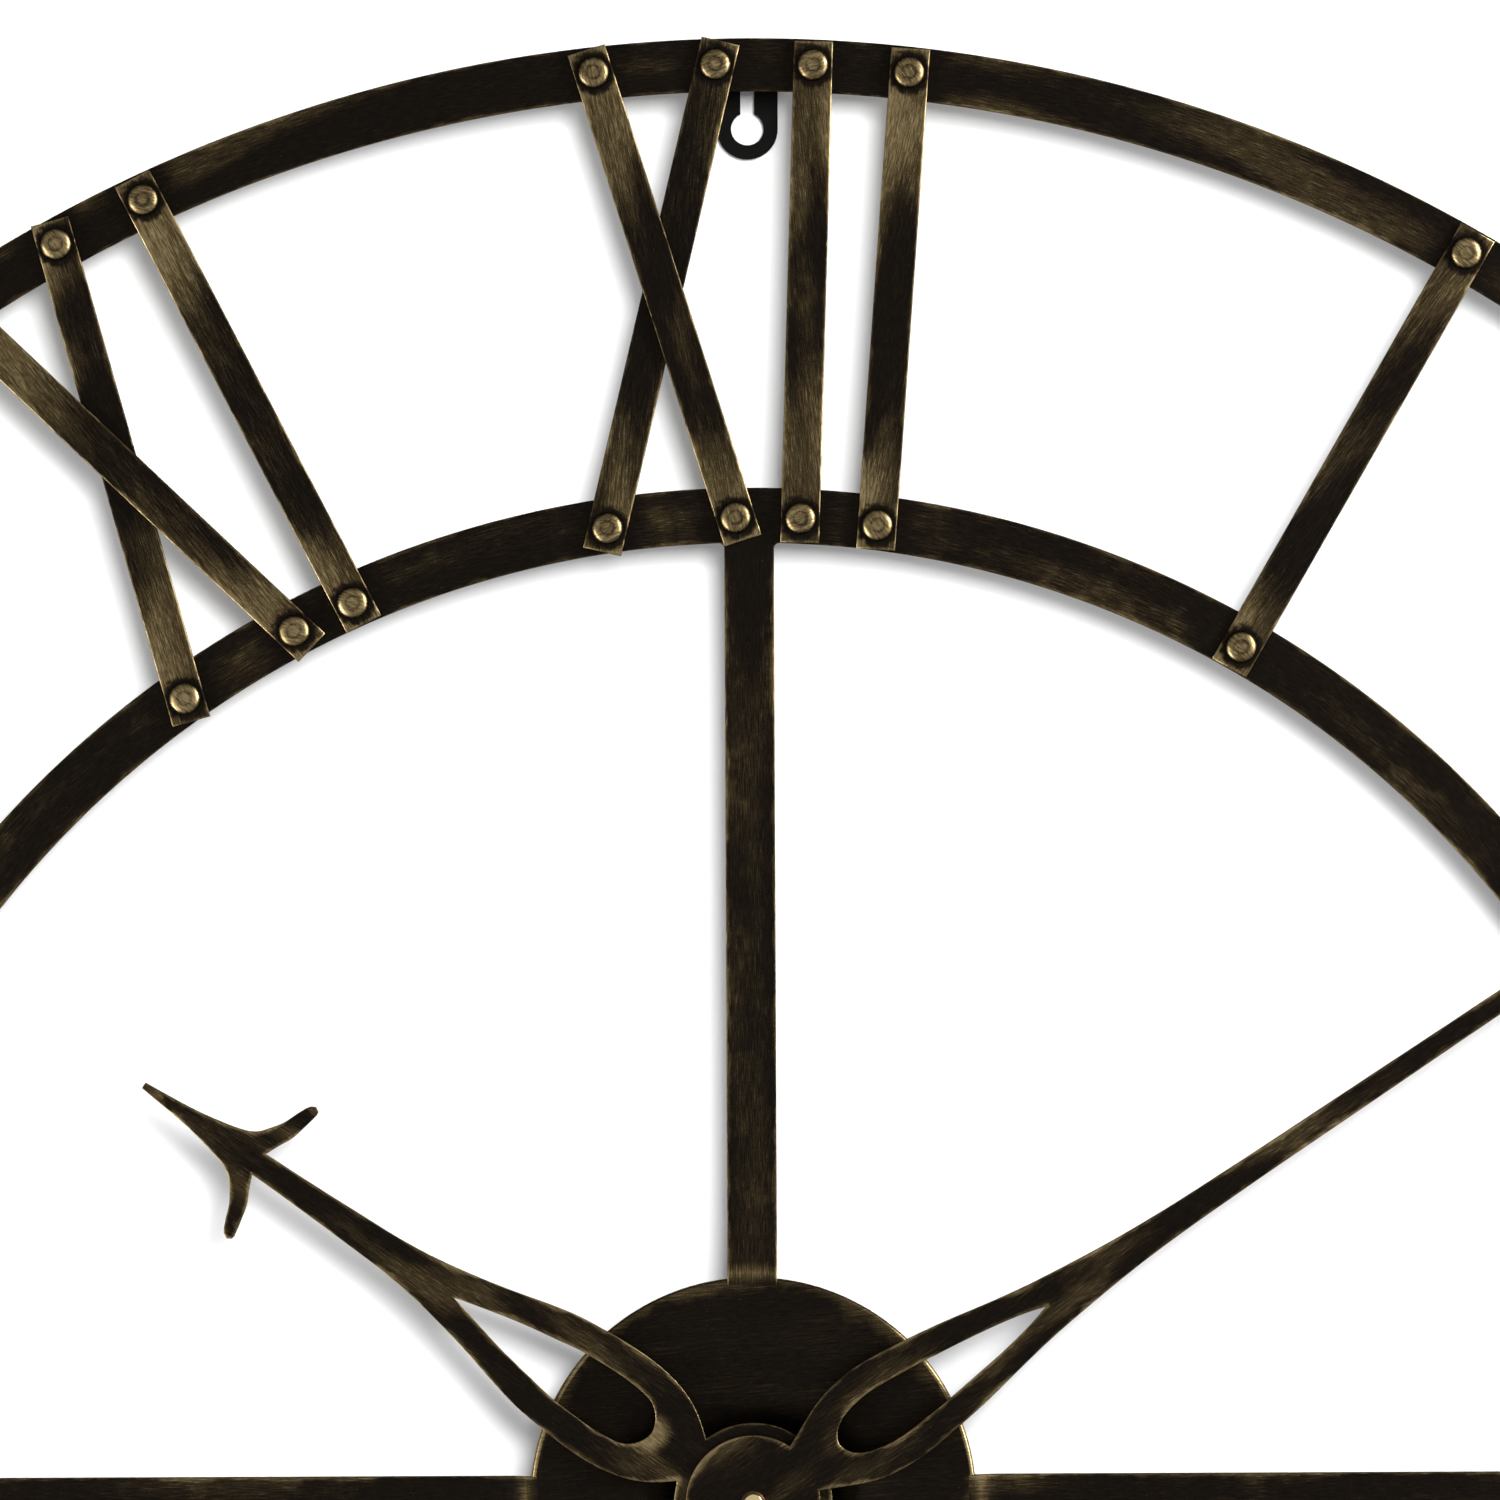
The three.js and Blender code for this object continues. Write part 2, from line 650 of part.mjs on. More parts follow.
const hexNut = outline(polygon(bore(nutAcrossFlats / 2, 6), 6));
hexNut.holes.push(holeOf(circle(bore(bushRadius + pressGap, bushSides), bushSides)));
piece("bush_nut", plate(hexNut, hubFront, nutFront), "brass");

// ---------------------------------------------------------------- gear train

// A toothed outline: flat-topped teeth with straight flanks and pointed spaces.
const toothHeight = 0.75; // above the pitch circle, in modules
const toothDepth = 1.5; // below the pitch circle, in modules
const tipShare = 0.08; // half the width of a tooth's tip, as a share of the pitch
function gearPoints(teeth, module, turn) {
  const pitch = (teeth * module) / 2;
  const tip = pitch + toothHeight * module;
  const root = pitch - toothDepth * module;
  const part = (2 * Math.PI) / teeth;
  const corners = [[root, -0.5], [tip, -tipShare], [tip, tipShare]];
  return Array.from({ length: teeth }, (_, i) =>
    corners.map(([r, at]) => {
      const a = turn + (i + at) * part;
      return [r * Math.cos(a), r * Math.sin(a)];
    }),
  ).flat();
}
const gear = (teeth, module, z0, z1, turn) =>
  solid(plate(outline(gearPoints(teeth, module, turn)), z0, z1));

// On the line between the axes of a pair, a tooth of the wheel meets a space of the
// pinion. A pinion is longer than its wheel at both ends.
const pinionLap = 0.4;
const wheelOf = (pair, level) =>
  gear(pair.wheel, pair.module, level, level + wheelThick, pair.angle * deg);
function pinionOf(pair, level) {
  const turn = pair.angle * deg + Math.PI + Math.PI / pair.pinion;
  const top = level + wheelThick + pinionLap;
  return gear(pair.pinion, pair.module, level - pinionLap, top, turn);
}

// An arbor between its pivots, from the post behind it to the post in front.
function arbor(backPost) {
  const low = backPost - pivotReach;
  const high = frontPosts + pivotReach;
  const profile = [
    [0, low], [pivotRadius, low], [pivotRadius, backPost + gap], [arborRadius, backPost + gap],
    [arborRadius, frontPosts - gap], [pivotRadius, frontPosts - gap], [pivotRadius, high], [0, high],
  ];
  return solid(turned(profile, 8));
}

function wheelPiece(name, axis, bodies, look = "gear") {
  const mesh = piece(name, join(bodies), look);
  mesh.position.set(axis[0], axis[1], 0);
}

// Centre wheel: arbor, wheel, cannon pinion and the shaft of the minute hand.
const centreArborRadius = 1.2;
const threadTop = minuteHandFront + nutThread - gap;
const centreShaft = [
  [0, centrePost - pivotReach], [pivotRadius, centrePost - pivotReach],
  [pivotRadius, centrePost + gap], [centreArborRadius, centrePost + gap],
  [centreArborRadius, minuteLevel], [minuteShaftRadius, minuteLevel],
  [minuteShaftRadius, minuteHandFront], [threadRadius, minuteHandFront],
  [threadRadius, threadTop], [0, threadTop],
];
wheelPiece("centre_wheel", centreAxis, [
  solid(turned(centreShaft, 12)),
  wheelOf(pairs.centre, centreLevel),
  pinionOf(pairs.minute, minuteLevel),
], "steel");

// Hour wheel on its pipe, round the centre shaft.
const pipeBore = bore(minuteShaftRadius + gap, 12);
wheelPiece("hour_wheel", centreAxis, [
  wheelOf(pairs.hour, hourLevel)
    .add(solid(rod(hourPipeRadius, hourLevel - pinionLap, hourHandFront, 16)))
    .subtract(solid(rod(pipeBore, 0, hourHandFront + past, 12))),
]);

// Minute wheel and its pinion, running on the stud of the case front.
const minuteHubRadius = 1.4;
wheelPiece("minute_wheel", minuteAxis, [
  wheelOf(pairs.minute, minuteLevel)
    .add(pinionOf(pairs.hour, hourLevel))
    .add(solid(rod(minuteHubRadius, minuteLevel, hourLevel, 12)))
    .subtract(solid(rod(bore(arborRadius + pivotGap, 8), 0, caseDepth, 8))),
]);

// Setting knob: a slotted button behind, a pinion on the minute wheel in front.
const knobBack = gap;
const knobFront = 2.4;
const knobSlotWidth = 1.2;
const knobSlotDepth = 0.8;
const knobSlot = block(
  [-knobRadius, -knobSlotWidth / 2, 0],
  [knobRadius, knobSlotWidth / 2, knobBack + knobSlotDepth],
);
wheelPiece("setting_knob", knobAxis, [
  solid(rod(knobRadius, knobBack, knobFront, 24)).subtract(solid(knobSlot)),
  solid(rod(postRadius, knobFront - overlap, minuteLevel, 8)),
  pinionOf(pairs.setting, minuteLevel),
  solid(rod(pivotRadius, minuteLevel, knobPost + pivotReach, 8)),
]);

wheelPiece("third_wheel", thirdAxis, [
  arbor(thirdPost),
  wheelOf(pairs.third, thirdLevel),
  pinionOf(pairs.centre, centreLevel),
]);
wheelPiece("seconds_wheel", secondsAxis, [
  arbor(secondsPost),
  wheelOf(pairs.seconds, secondsLevel),
  pinionOf(pairs.third, thirdLevel),
]);
wheelPiece("intermediate_wheel", intermediateAxis, [
  arbor(intermediatePost),
  wheelOf(pairs.intermediate, intermediateLevel),
  pinionOf(pairs.seconds, secondsLevel),
]);

// Rotor: a magnet on a pinion, in the hole of the stator.
const magnetRadius = 2.6;
const magnetBack = 4;
const magnetFront = 6.8;
wheelPiece("rotor", rotorAxis, [
  arbor(rotorPost),
  solid(rod(magnetRadius, magnetBack, magnetFront, 16)),
  pinionOf(pairs.intermediate, intermediateLevel),
], "steel");

// ---------------------------------------------------------------- motor and board

// The stator: a bar round the rotor with an arm up at each end.
const armWidth = 3;
const armEnd = inside - 1.4;
const statorLeft = -24.5;
const statorRight = rotorAxis[0] + 4.2;
const statorBottom = rotorAxis[1] - 3.8;
const statorTop = rotorAxis[1] + 3.6;
const stator = outline([
  [statorLeft, statorBottom], [statorRight, statorBottom], [statorRight, armEnd],
  [statorRight - armWidth, armEnd], [statorRight - armWidth, statorTop],
  [statorLeft + armWidth, statorTop], [statorLeft + armWidth, armEnd], [statorLeft, armEnd],
]);
stator.holes.push(holeOf(polygon(bore(magnetRadius + gap, 16), 16, 0, ...rotorAxis)));
piece("stator", plate(stator, statorLevel, statorLevel + statorThick), "steel");

// A turned outline of [radius, x] points about a line along x, at a height on the dial.
function turnedAlong(profile, sides, y, z) {
  const points = profile.map(([r, x]) => new THREE.Vector2(r, x));
  return new THREE.LatheGeometry(points, sides).rotateZ(-Math.PI / 2).translate(0, y, z);
}

// The coil: a wound bobbin on a core that bridges the two arms of the stator.
const coilY = inside - 3.3;
const coreBack = statorLevel + statorThick;
const coreThick = 1;
const coreWidth = 2.4;
const flangeRadius = 2.9;
const flangeThick = 0.8;
const windingRadius = 2.4;
const bobbinInset = 1; // from each arm
const bobbinStart = statorLeft + armWidth + bobbinInset;
const bobbinEnd = statorRight - armWidth - bobbinInset;
const bobbin = turnedAlong(
  [
    [0, bobbinStart], [flangeRadius, bobbinStart], [flangeRadius, bobbinStart + flangeThick],
    [windingRadius, bobbinStart + flangeThick], [windingRadius, bobbinEnd - flangeThick],
    [flangeRadius, bobbinEnd - flangeThick], [flangeRadius, bobbinEnd], [0, bobbinEnd],
  ],
  16, coilY, coreBack + coreThick / 2,
);
const core = block(
  [statorLeft, coilY - coreWidth / 2, coreBack],
  [statorRight, coilY + coreWidth / 2, coreBack + coreThick],
);
piece("coil", join([solid(bobbin), solid(core)]), "copper");

// Circuit board with the chip's round cover.
const boardFront = boardLevel + boardThick;
const boardEnd = inside - gap;
const boardFoot = inside - 7.4;
const boardTop = inside - 0.5;
const chipRadius = 2.6;
const chipHeight = 1;
const chipX = 13;
piece(
  "circuit_board",
  join([
    solid(block([-boardEnd, boardFoot, boardLevel], [boardEnd, boardTop, boardFront])),
    solid(rod(chipRadius, boardFront - overlap, boardFront + chipHeight, 12, chipX, boardMiddle)),
  ]),
  "board",
);

// ---------------------------------------------------------------- battery and contacts

const battery = turnedAlong(
  [
    [0, batteryStart], [batteryRadius, batteryStart], [batteryRadius, batteryEnd - batteryNub],
    [batteryNubRadius, batteryEnd - batteryNub], [batteryNubRadius, batteryEnd], [0, batteryEnd],
  ],
  24, batteryY, batteryZ,
);
piece("battery", battery, "battery");

// Contact strips: a plate at the battery's end and an arm along the case to the board.
const contactInset = 1; // from the case, up and down the dial
const contactBack = 2.5;
const contactFront = 12.5;
const armFront = 5;
const contactSide = outline([
  [contactInset - inside, contactBack], [bayTop, contactBack], [bayTop, boardFront],
  [inside - contactInset, boardFront], [inside - contactInset, armFront], [bayTop, armFront],
  [bayTop, contactFront], [contactInset - inside, contactFront],
]);
function contactPlate(x) {
  // Drawn in y and z, then stood up across x.
  const turn = new THREE.Matrix4().set(0, 0, 1, x, 1, 0, 0, 0, 0, 1, 0, 0, 0, 0, 0, 1);
  return solid(plate(contactSide, 0, contactThick).applyMatrix4(turn));
}
piece("contact_positive", contactPlate(contactPosition), "steel");
const springRoot = -contactPosition;
const springEnd = batteryStart - gap;
const springRootRadius = 3.2;
const springEndRadius = 1.6;
const spring = turnedAlong(
  [
    [0, springRoot - overlap], [springRootRadius, springRoot - overlap],
    [springRootRadius, springRoot], [springEndRadius, springEnd], [0, springEnd],
  ],
  12, batteryY, batteryZ,
);
piece(
  "contact_negative",
  contactPlate(springRoot - contactThick).add(solid(spring)),
  "steel",
);

// ---------------------------------------------------------------- upright on the wall

dial.rotation.x = Math.PI / 2;
const wallClock = new THREE.Group();
wallClock.add(dial);

export default wallClock;
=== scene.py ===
# %% [markdown]
# # A riveted wall clock
#
# The clock is a skeleton of flat metal strip: an outer ring, an inner ring with four
# spokes, thirty-five strips riveted between the rings as numerals, a hub disc, two
# pierced hands and a battery movement behind. The dark coat is rubbed back to dull
# gold wherever a cloth would catch it, so the lesson is about two things: sheet metal
# with believable edges, and one finish that knows where the edges are.

# %% Load the fixed frame
import math
import random

import bmesh
import bpy
from mathutils import Matrix, Vector, geometry, kdtree


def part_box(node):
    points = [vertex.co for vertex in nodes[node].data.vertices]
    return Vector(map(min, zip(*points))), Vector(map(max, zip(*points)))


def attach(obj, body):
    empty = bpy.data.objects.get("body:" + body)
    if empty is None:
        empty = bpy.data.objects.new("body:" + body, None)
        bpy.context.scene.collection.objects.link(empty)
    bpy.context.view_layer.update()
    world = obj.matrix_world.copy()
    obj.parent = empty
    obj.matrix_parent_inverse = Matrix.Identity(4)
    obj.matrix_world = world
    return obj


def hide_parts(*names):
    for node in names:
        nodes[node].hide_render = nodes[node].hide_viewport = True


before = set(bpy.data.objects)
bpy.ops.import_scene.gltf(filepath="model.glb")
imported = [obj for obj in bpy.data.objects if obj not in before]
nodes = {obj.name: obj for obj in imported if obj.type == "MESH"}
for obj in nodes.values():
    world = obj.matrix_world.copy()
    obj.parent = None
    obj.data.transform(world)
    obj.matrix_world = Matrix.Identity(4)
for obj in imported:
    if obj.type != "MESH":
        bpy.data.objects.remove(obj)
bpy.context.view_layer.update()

# %% [markdown]
# ## Seeing the dial as a drawing
#
# Every flat piece is easiest to think of as a drawing on the dial: across, up, and a
# height out of the wall. One small function turns such a place into Blender's space,
# where the clock hangs in the X-Z plane and the room is towards -Y. Two-dimensional
# vectors are used for the drawing and three-dimensional ones only at the very end.

# %% Units and the drawing plane
mm = 0.001


def spot(drawn, out):
    """A point of the dial drawing, at a height out of the wall."""
    return Vector((drawn.x, -out, drawn.y))


def polar(radius, angle, centre=Vector((0, 0))):
    return centre + Vector((radius * math.cos(angle), radius * math.sin(angle)))


def circle(radius, count, centre=Vector((0, 0)), clockwise=False):
    turn = -2 * math.pi if clockwise else 2 * math.pi
    return [polar(radius, turn * i / count, centre) for i in range(count)]


def fade(value, start, end):
    """0 before start, 1 past end and a smooth step between them."""
    share = min(max((value - start) / (end - start), 0), 1)
    return share * share * (3 - 2 * share)


def heights(node):
    """How far a piece's back and front stand out of the wall."""
    low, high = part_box(node)
    return -high.y, -low.y


ring_back, ring_front = heights("outer_ring")
print(f"rings stand {ring_back / mm:.1f} to {ring_front / mm:.1f} mm out of the wall")

# %% [markdown]
# ## Reading outlines off the engineering model
#
# The engineering model is faceted, but its outlines are exact where its corners are.
# The outline of a sheet is the border of its front face: edges that only one front
# triangle uses. Following them gives closed loops, with the metal always on the left.

# %% Outlines of a flat sheet
def sheet_loops(node):
    """The outlines of a sheet's front face: the outside first, then its holes."""
    mesh = nodes[node].data
    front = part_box(node)[0].y
    edges = {}
    for face in mesh.polygons:
        corners = [mesh.vertices[i].co for i in face.vertices]
        if any(abs(corner.y - front) > 0.01 * mm for corner in corners):
            continue
        places = [(round(corner.x, 6), round(corner.z, 6)) for corner in corners]
        edges.update(dict.fromkeys(zip(places, places[1:] + places[:1])))
    following = {a: b for a, b in edges if (b, a) not in edges}
    loops = []
    while following:
        start, place = following.popitem()
        loop = [Vector(start)]
        while place != start:
            loop.append(Vector(place))
            place = following.pop(place)
        loops.append(loop)
    return sorted(loops, key=area_of, reverse=True)


def area_of(loop):
    """Area inside a loop, negative for a hole."""
    return sum(a.cross(b) for a, b in zip(loop, loop[1:] + loop[:1])) / 2


print("loops in the hour hand:", [len(loop) for loop in sheet_loops("hour_hand")])

# %% [markdown]
# A faceted outline becomes a smooth one by running a cubic curve through its corners.
# The curve's direction at each corner comes from both neighbours, unless the outline
# turns there more sharply than a curve would: then it is a real corner and stays one.

# %% Smooth outlines
def smoothed(loop, step, sharpest):
    """The loop with a curve between its points, in steps of about the given length."""
    count = len(loop)
    ahead = [loop[(i + 1) % count] - loop[i] for i in range(count)]
    leaving, arriving = [], []
    for i in range(count):
        into, out = ahead[i - 1], ahead[i]
        if abs(into.angle_signed(out)) > sharpest:
            leaving.append(out.normalized())
            arriving.append(into.normalized())
        else:
            # the neighbour that is nearer has more say in the direction, but next to a
            # long edge the curve runs into it along its line, so that the edge stays straight
            heading = into / into.length * out.length + out / out.length * into.length
            heading /= into.length + out.length
            longer = max(into, out, key=lambda edge: edge.length)
            if longer.length > 4 * min(into.length, out.length):
                heading = longer.normalized()
            leaving.append(heading)
            arriving.append(heading)
    result = []
    for i in range(count):
        start, end = loop[i], loop[(i + 1) % count]
        length = ahead[i].length
        pieces = max(1, round(length / step))
        for k in range(pieces):
            t = k / pieces
            result.append(
                start * (2 * t**3 - 3 * t**2 + 1)
                + leaving[i] * length * (t**3 - 2 * t**2 + t)
                + end * (3 * t**2 - 2 * t**3)
                + arriving[(i + 1) % count] * length * (t**3 - t**2)
            )
    return result


# %% [markdown]
# ## A sheet with rounded edges
#
# Cut sheet always has a slightly rounded edge, and that edge is what catches the
# light. A Bevel modifier would do it, but the finish also needs to know how far each
# spot is from the nearest edge. So the sheet is built in rows: each outline is moved
# inwards a little at a time while it climbs round the edge, and every row remembers
# its distance. A flat row just past the rounding keeps the shading of the face flat.

# %% Rows round an edge
sharpest_lean = 0.4  # a corner's own row moves no further than 1 / 0.4 of the distance


def moved_in(loop, distance):
    """A loop moved to its left, into the metal."""
    result = []
    for i, point in enumerate(loop):
        into = (point - loop[i - 1]).normalized()
        out = (loop[(i + 1) % len(loop)] - point).normalized()
        normal = Vector((-into.y - out.y, into.x + out.x)).normalized()
        # at a corner the point moves further, but never to a spike
        lean = max(normal.dot(Vector((-out.y, out.x))), sharpest_lean)
        result.append(point + normal * distance / lean)
    return result


def edge_rows(back, front, rounding, flats):
    """[inset, height] of each row, from the middle of the back face to the front's."""
    angles = [math.radians(degrees) for degrees in (0, 30, 60, 90)]
    climb = [(1 - math.cos(angle), 1 - math.sin(angle)) for angle in angles]
    face = [[rounding + flat, 0] for flat in reversed(flats)]
    face += [[rounding * inset, rounding * drop] for inset, drop in reversed(climb)]
    backs = [[inset, back + drop] for inset, drop in face]
    fronts = [[inset, front - drop] for inset, drop in reversed(face)]
    return backs + fronts


# %% [markdown]
# The two faces are filled by a Delaunay triangulation, which takes the innermost row
# of every outline and leaves the holes open. A piece whose wear changes away from its
# edges, such as a hand, gets loose points inside as well. The brush direction of the
# metal goes into a UV map in metres, so that a finish can be drawn at its real size.

# %% Fill a face and make the mesh
def filled(loops, inside):
    """Triangles between the loops, as indices into their points and then the loose ones."""
    points = [point for loop in loops for point in loop] + inside
    borders, start = [], 0
    for loop in loops:
        borders.append(list(range(start, start + len(loop))))
        start += len(loop)
    inside_with_holes, closest = 2, 1e-9
    found = geometry.delaunay_2d_cdt(points, [], borders, inside_with_holes, closest)
    origin = [group[0] if group else None for group in found[3]]
    triangles = [[origin[i] for i in face] for face in found[2]]
    return [corners for corners in triangles if None not in corners and len(set(corners)) == 3]


def make_piece(name, points, faces, drawn, flow, marks, rivets=()):
    """A smooth-shaded mesh with its brush direction as UVs and named marks on its points."""
    mesh = bpy.data.meshes.new(name)
    mesh.from_pydata(points, [], faces)
    mesh.uv_layers.new(name="brush")
    if rivets:
        mesh.uv_layers.new(name="from_rivet")
    # both maps are looked up once they exist, because adding one moves the other
    brush, from_rivet = mesh.uv_layers["brush"].data, mesh.uv_layers.get("from_rivet")
    for face in mesh.polygons:
        places = [drawn[i] for i in face.vertices]
        middle = sum(places, Vector((0, 0))) / len(places)
        for corner, place in zip(face.loop_indices, places):
            brush[corner].uv = flow(place, middle)
        if rivets:
            nearest = min(rivets, key=lambda rivet: (rivet - middle).length)
            for corner, place in zip(face.loop_indices, places):
                from_rivet.data[corner].uv = place - nearest
    for title, values in marks.items():
        mesh.attributes.new(title, "FLOAT", "POINT").data.foreach_set("value", values)
    mesh.shade_smooth()
    piece = bpy.data.objects.new(name, mesh)
    bpy.context.scene.collection.objects.link(piece)
    return piece


# %% [markdown]
# The whole sheet is those rows and those two fills in one mesh. The pieces below differ
# in what they pass in: a lift that bends the sheet, wear and painted highlights, a shade
# painted by place, a rule that lays the drawing on the dial and the rivets it is measured from.

# %% A sheet from its outlines
def rounded_sheet(name, loops, back, front, flow, rounding=0.3 * mm, flats=(0.25 * mm, 1.3 * mm),
                  lift=None, worn=None, shade=None, place=spot, grid=None, seed=0.0, rivets=()):
    """A sheet with rounded edges. lift raises it, worn and shade mark it, by drawn place."""
    rows = edge_rows(back, front, rounding, flats)
    drawn, out, rim, faces = [], [], [], []
    for loop in loops:
        start = len(drawn)
        count = len(loop)
        for inset, height in rows:
            drawn += moved_in(loop, inset)
            out += [height] * count
            rim += [inset] * count
        for row in range(len(rows) - 1):
            low = start + row * count
            for i in range(count):
                j = (i + 1) % count
                faces.append([low + i, low + j, low + count + j, low + count + i])
    inner = [moved_in(loop, rows[-1][0]) for loop in loops]
    inside, distances = inner_points(loops, grid, rows[-1][0]) if grid else ([], [])
    triangles = filled(inner, inside)
    # where the fill's points are: in an outline's first row for the back, its last for the front
    first, last, start = [], [], 0
    for loop in loops:
        first += range(start, start + len(loop))
        start += len(loop) * len(rows)
        last += range(start - len(loop), start)
    for ends, height, backwards in ((first, back, True), (last, front, False)):
        ends += range(len(drawn), len(drawn) + len(inside))
        drawn += inside
        out += [height] * len(inside)
        rim += distances
        for triangle in triangles:
            corners = [ends[i] for i in triangle]
            faces.append(corners[::-1] if backwards else corners)
    if lift:
        out = [height + lift(point) for point, height in zip(drawn, out)]
    marks = {
        "rim": rim,
        "worn": [worn(point) if worn else 0.0 for point in drawn],
        "shade": [shade(point) if shade else 0.0 for point in drawn],
        "seed": [seed] * len(drawn),
    }
    points = [place(point, height) for point, height in zip(drawn, out)]
    return make_piece(name, points, faces, drawn, flow, marks, rivets)


def inner_points(loops, step, clear):
    """Points on a grid inside the loops and well clear of them, with their distances."""
    borders = [point for loop in loops for point in loop]
    near = kdtree.KDTree(len(borders))
    for index, point in enumerate(borders):
        near.insert(point.to_3d(), index)
    near.balance()
    found, distances = [], []
    across, up = [point.x for point in borders], [point.y for point in borders]
    columns = range(round(min(across) / step), round(max(across) / step))
    lines = range(round(min(up) / step), round(max(up) / step))
    for column in columns:
        for line in lines:
            point = Vector((column + line % 2 / 2, line)) * step
            distance = near.find(point.to_3d())[2]
            if distance > clear + step / 2 and is_inside(point, loops):
                found.append(point)
                distances.append(distance)
    return found, distances


def is_inside(place, loops):
    """Whether a line to the right crosses the loops an odd number of times."""
    crossings = 0
    for loop in loops:
        for a, b in zip(loop, loop[1:] + loop[:1]):
            if (a.y > place.y) != (b.y > place.y):
                crossings += place.x < a.x + (b.x - a.x) * (place.y - a.y) / (b.y - a.y)
    return crossings % 2 == 1


# %% [markdown]
# ## Where the rivets are
#
# The strips are measured off the engineering model too. Behind the rings each strip
# ends in two closed-over rivet tails, which are its rearmost points: their centres
# give the strip's line. The strips that cross over another one bow outwards, and the
# points of the bow that stand clear of the strip's flat front tell how high and where.

# %% Measure the strips
# a strip's thickness is what stands in front of the ring, less the head of its rivet
strip_ends = sorted({round(-p.co.y, 6) for p in nodes["numeral_I_bar_1"].data.vertices})
bar_sheet = next(out for out in strip_ends if out > ring_front + 1 * mm) - ring_front
rivet_front = strip_ends[-1]
print(f"strips are {bar_sheet / mm:.1f} mm thick, rivet heads reach {rivet_front / mm:.1f} mm")


class Strip:
    """A numeral strip: its line between two rivets, its size and its bow."""

    def __init__(self, name):
        self.name = name
        places = [(Vector((p.co.x, p.co.z)), -p.co.y) for p in nodes[name].data.vertices]
        rear = min(out for _, out in places)
        tails = [drawn for drawn, out in places if out < rear + 0.01 * mm]
        far = max(tails, key=lambda drawn: drawn.length)
        groups = [[], []]
        for drawn in tails:
            groups[(drawn - far).length < 20 * mm].append(drawn)
        self.inner, self.outer = [middle_of(group) for group in groups]
        self.length = (self.outer - self.inner).length
        self.along = (self.outer - self.inner) / self.length
        self.across = Vector((-self.along.y, self.along.x))
        local = [((drawn - self.inner).dot(self.along), (drawn - self.inner).dot(self.across), out)
                 for drawn, out in places]
        self.overhang = -min(a for a, _, _ in local)
        self.width = 2 * max(c for _, c, _ in local)
        self.back, self.front = ring_front, ring_front + bar_sheet
        middle = [(a, out) for a, _, out in local if 0.2 < a / self.length < 0.8]
        self.bow = max(out for _, out in middle) - self.front if middle else 0
        flat = [a for a, out in middle if out > self.front + self.bow - 0.01 * mm]
        self.bow_ends = (min(flat), max(flat)) if flat else (0, 0)
        self.seed = random.Random(name).random()

    def drawn(self, local):
        return self.inner + self.along * local.x + self.across * local.y

    def lift(self, local):
        if not self.bow:
            return 0
        flat_end = 12 * mm
        start, end = self.bow_ends
        rise = fade(local.x, flat_end, start)
        fall = fade(self.length - local.x, flat_end, self.length - end)
        return self.bow * min(rise, fall)


def middle_of(group):
    """The middle of a rivet tail's corners, each of them counted once."""
    corners = {(round(point.x, 6), round(point.y, 6)) for point in group}
    return sum(map(Vector, corners), Vector((0, 0))) / len(corners)


strips = [Strip(name) for name in sorted(nodes) if name.startswith("numeral_")]
for strip in strips[:4]:
    print(f"{strip.name}: {strip.length / mm:.1f} mm long, {strip.width / mm:.1f} wide, "
          f"front {strip.front / mm:.2f}, bow {strip.bow / mm:.2f} at "
          f"{strip.bow_ends[0] / mm:.0f} to {strip.bow_ends[1] / mm:.0f}")

# %% [markdown]
# ## The rings
#
# The outer ring is a plain hoop with a hole for every rivet. Beside each strip the coat
# stays dark, partly coat the cloth could not reach and partly painted shade of the strip.
# That is painted as a mark on the points: shade, which the finish later takes its gold away by.

# %% Brush directions and shaded places
def round_the_dial(radius):
    """A brush direction that follows a ring of the given radius."""
    def flow(place, middle):
        # a face's corners are measured from its middle, so that none jumps a whole turn
        ahead = middle.angle_signed(place)
        return Vector(((math.atan2(middle.y, middle.x) - ahead) * radius, place.length))
    return flow


def brushed_at(lean):
    """A straight brush direction, turned by an angle from the drawing's own line."""
    turn = Matrix.Rotation(lean, 2)
    return lambda place, middle: turn @ place


def shade_beside_strips(centres, inside):
    """Painted shade, partly unrubbed coat: 1 beside the strips that lie on a ring, 0 a little
    further along it.
    """
    near = kdtree.KDTree(len(centres))
    for index, centre in enumerate(centres):
        near.insert(centre.normalized().to_3d(), index)
    near.balance()

    def shade(place):
        distance = near.find(place.normalized().to_3d())[2] * place.length
        on_ring = fade(place.length, inside - 12 * mm, inside)
        return on_ring * (1 - fade(distance, 5 * mm, 13 * mm))
    return shade


def holes_of(centres):
    """A round hole for a rivet at each centre."""
    return [circle(rivet_hole, 20, centre, clockwise=True) for centre in centres]


rivet_hole = 2.55 * mm
print(f"holes for rivets are {2 * rivet_hole / mm:.1f} mm across")

# %% Outer ring
outer_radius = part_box("outer_ring")[1].x
outer_inside = max(point.length for point in sheet_loops("outer_ring")[-1])
outer_centres = [strip.outer for strip in strips]
outer_loops = [circle(outer_radius, 480), circle(outer_inside, 480, clockwise=True)]
outer_ring = rounded_sheet(
    "outer_ring_metal", outer_loops + holes_of(outer_centres),
    ring_back, ring_front, round_the_dial(outer_radius),
    shade=shade_beside_strips(outer_centres, outer_inside), seed=3.0,
)
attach(outer_ring, "frame")
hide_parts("outer_ring")
print("outer ring:", len(outer_ring.data.vertices), "points")

# %% [markdown]
# The inner ring and its four spokes are cut from one sheet. Near the middle each spoke
# is cranked outwards over the rim of the hub disc and welded down on its face, so its
# heights are lifted there along its length. The points along its edges are only a few
# millimetres apart, which is enough for the crank to look bent and not broken.

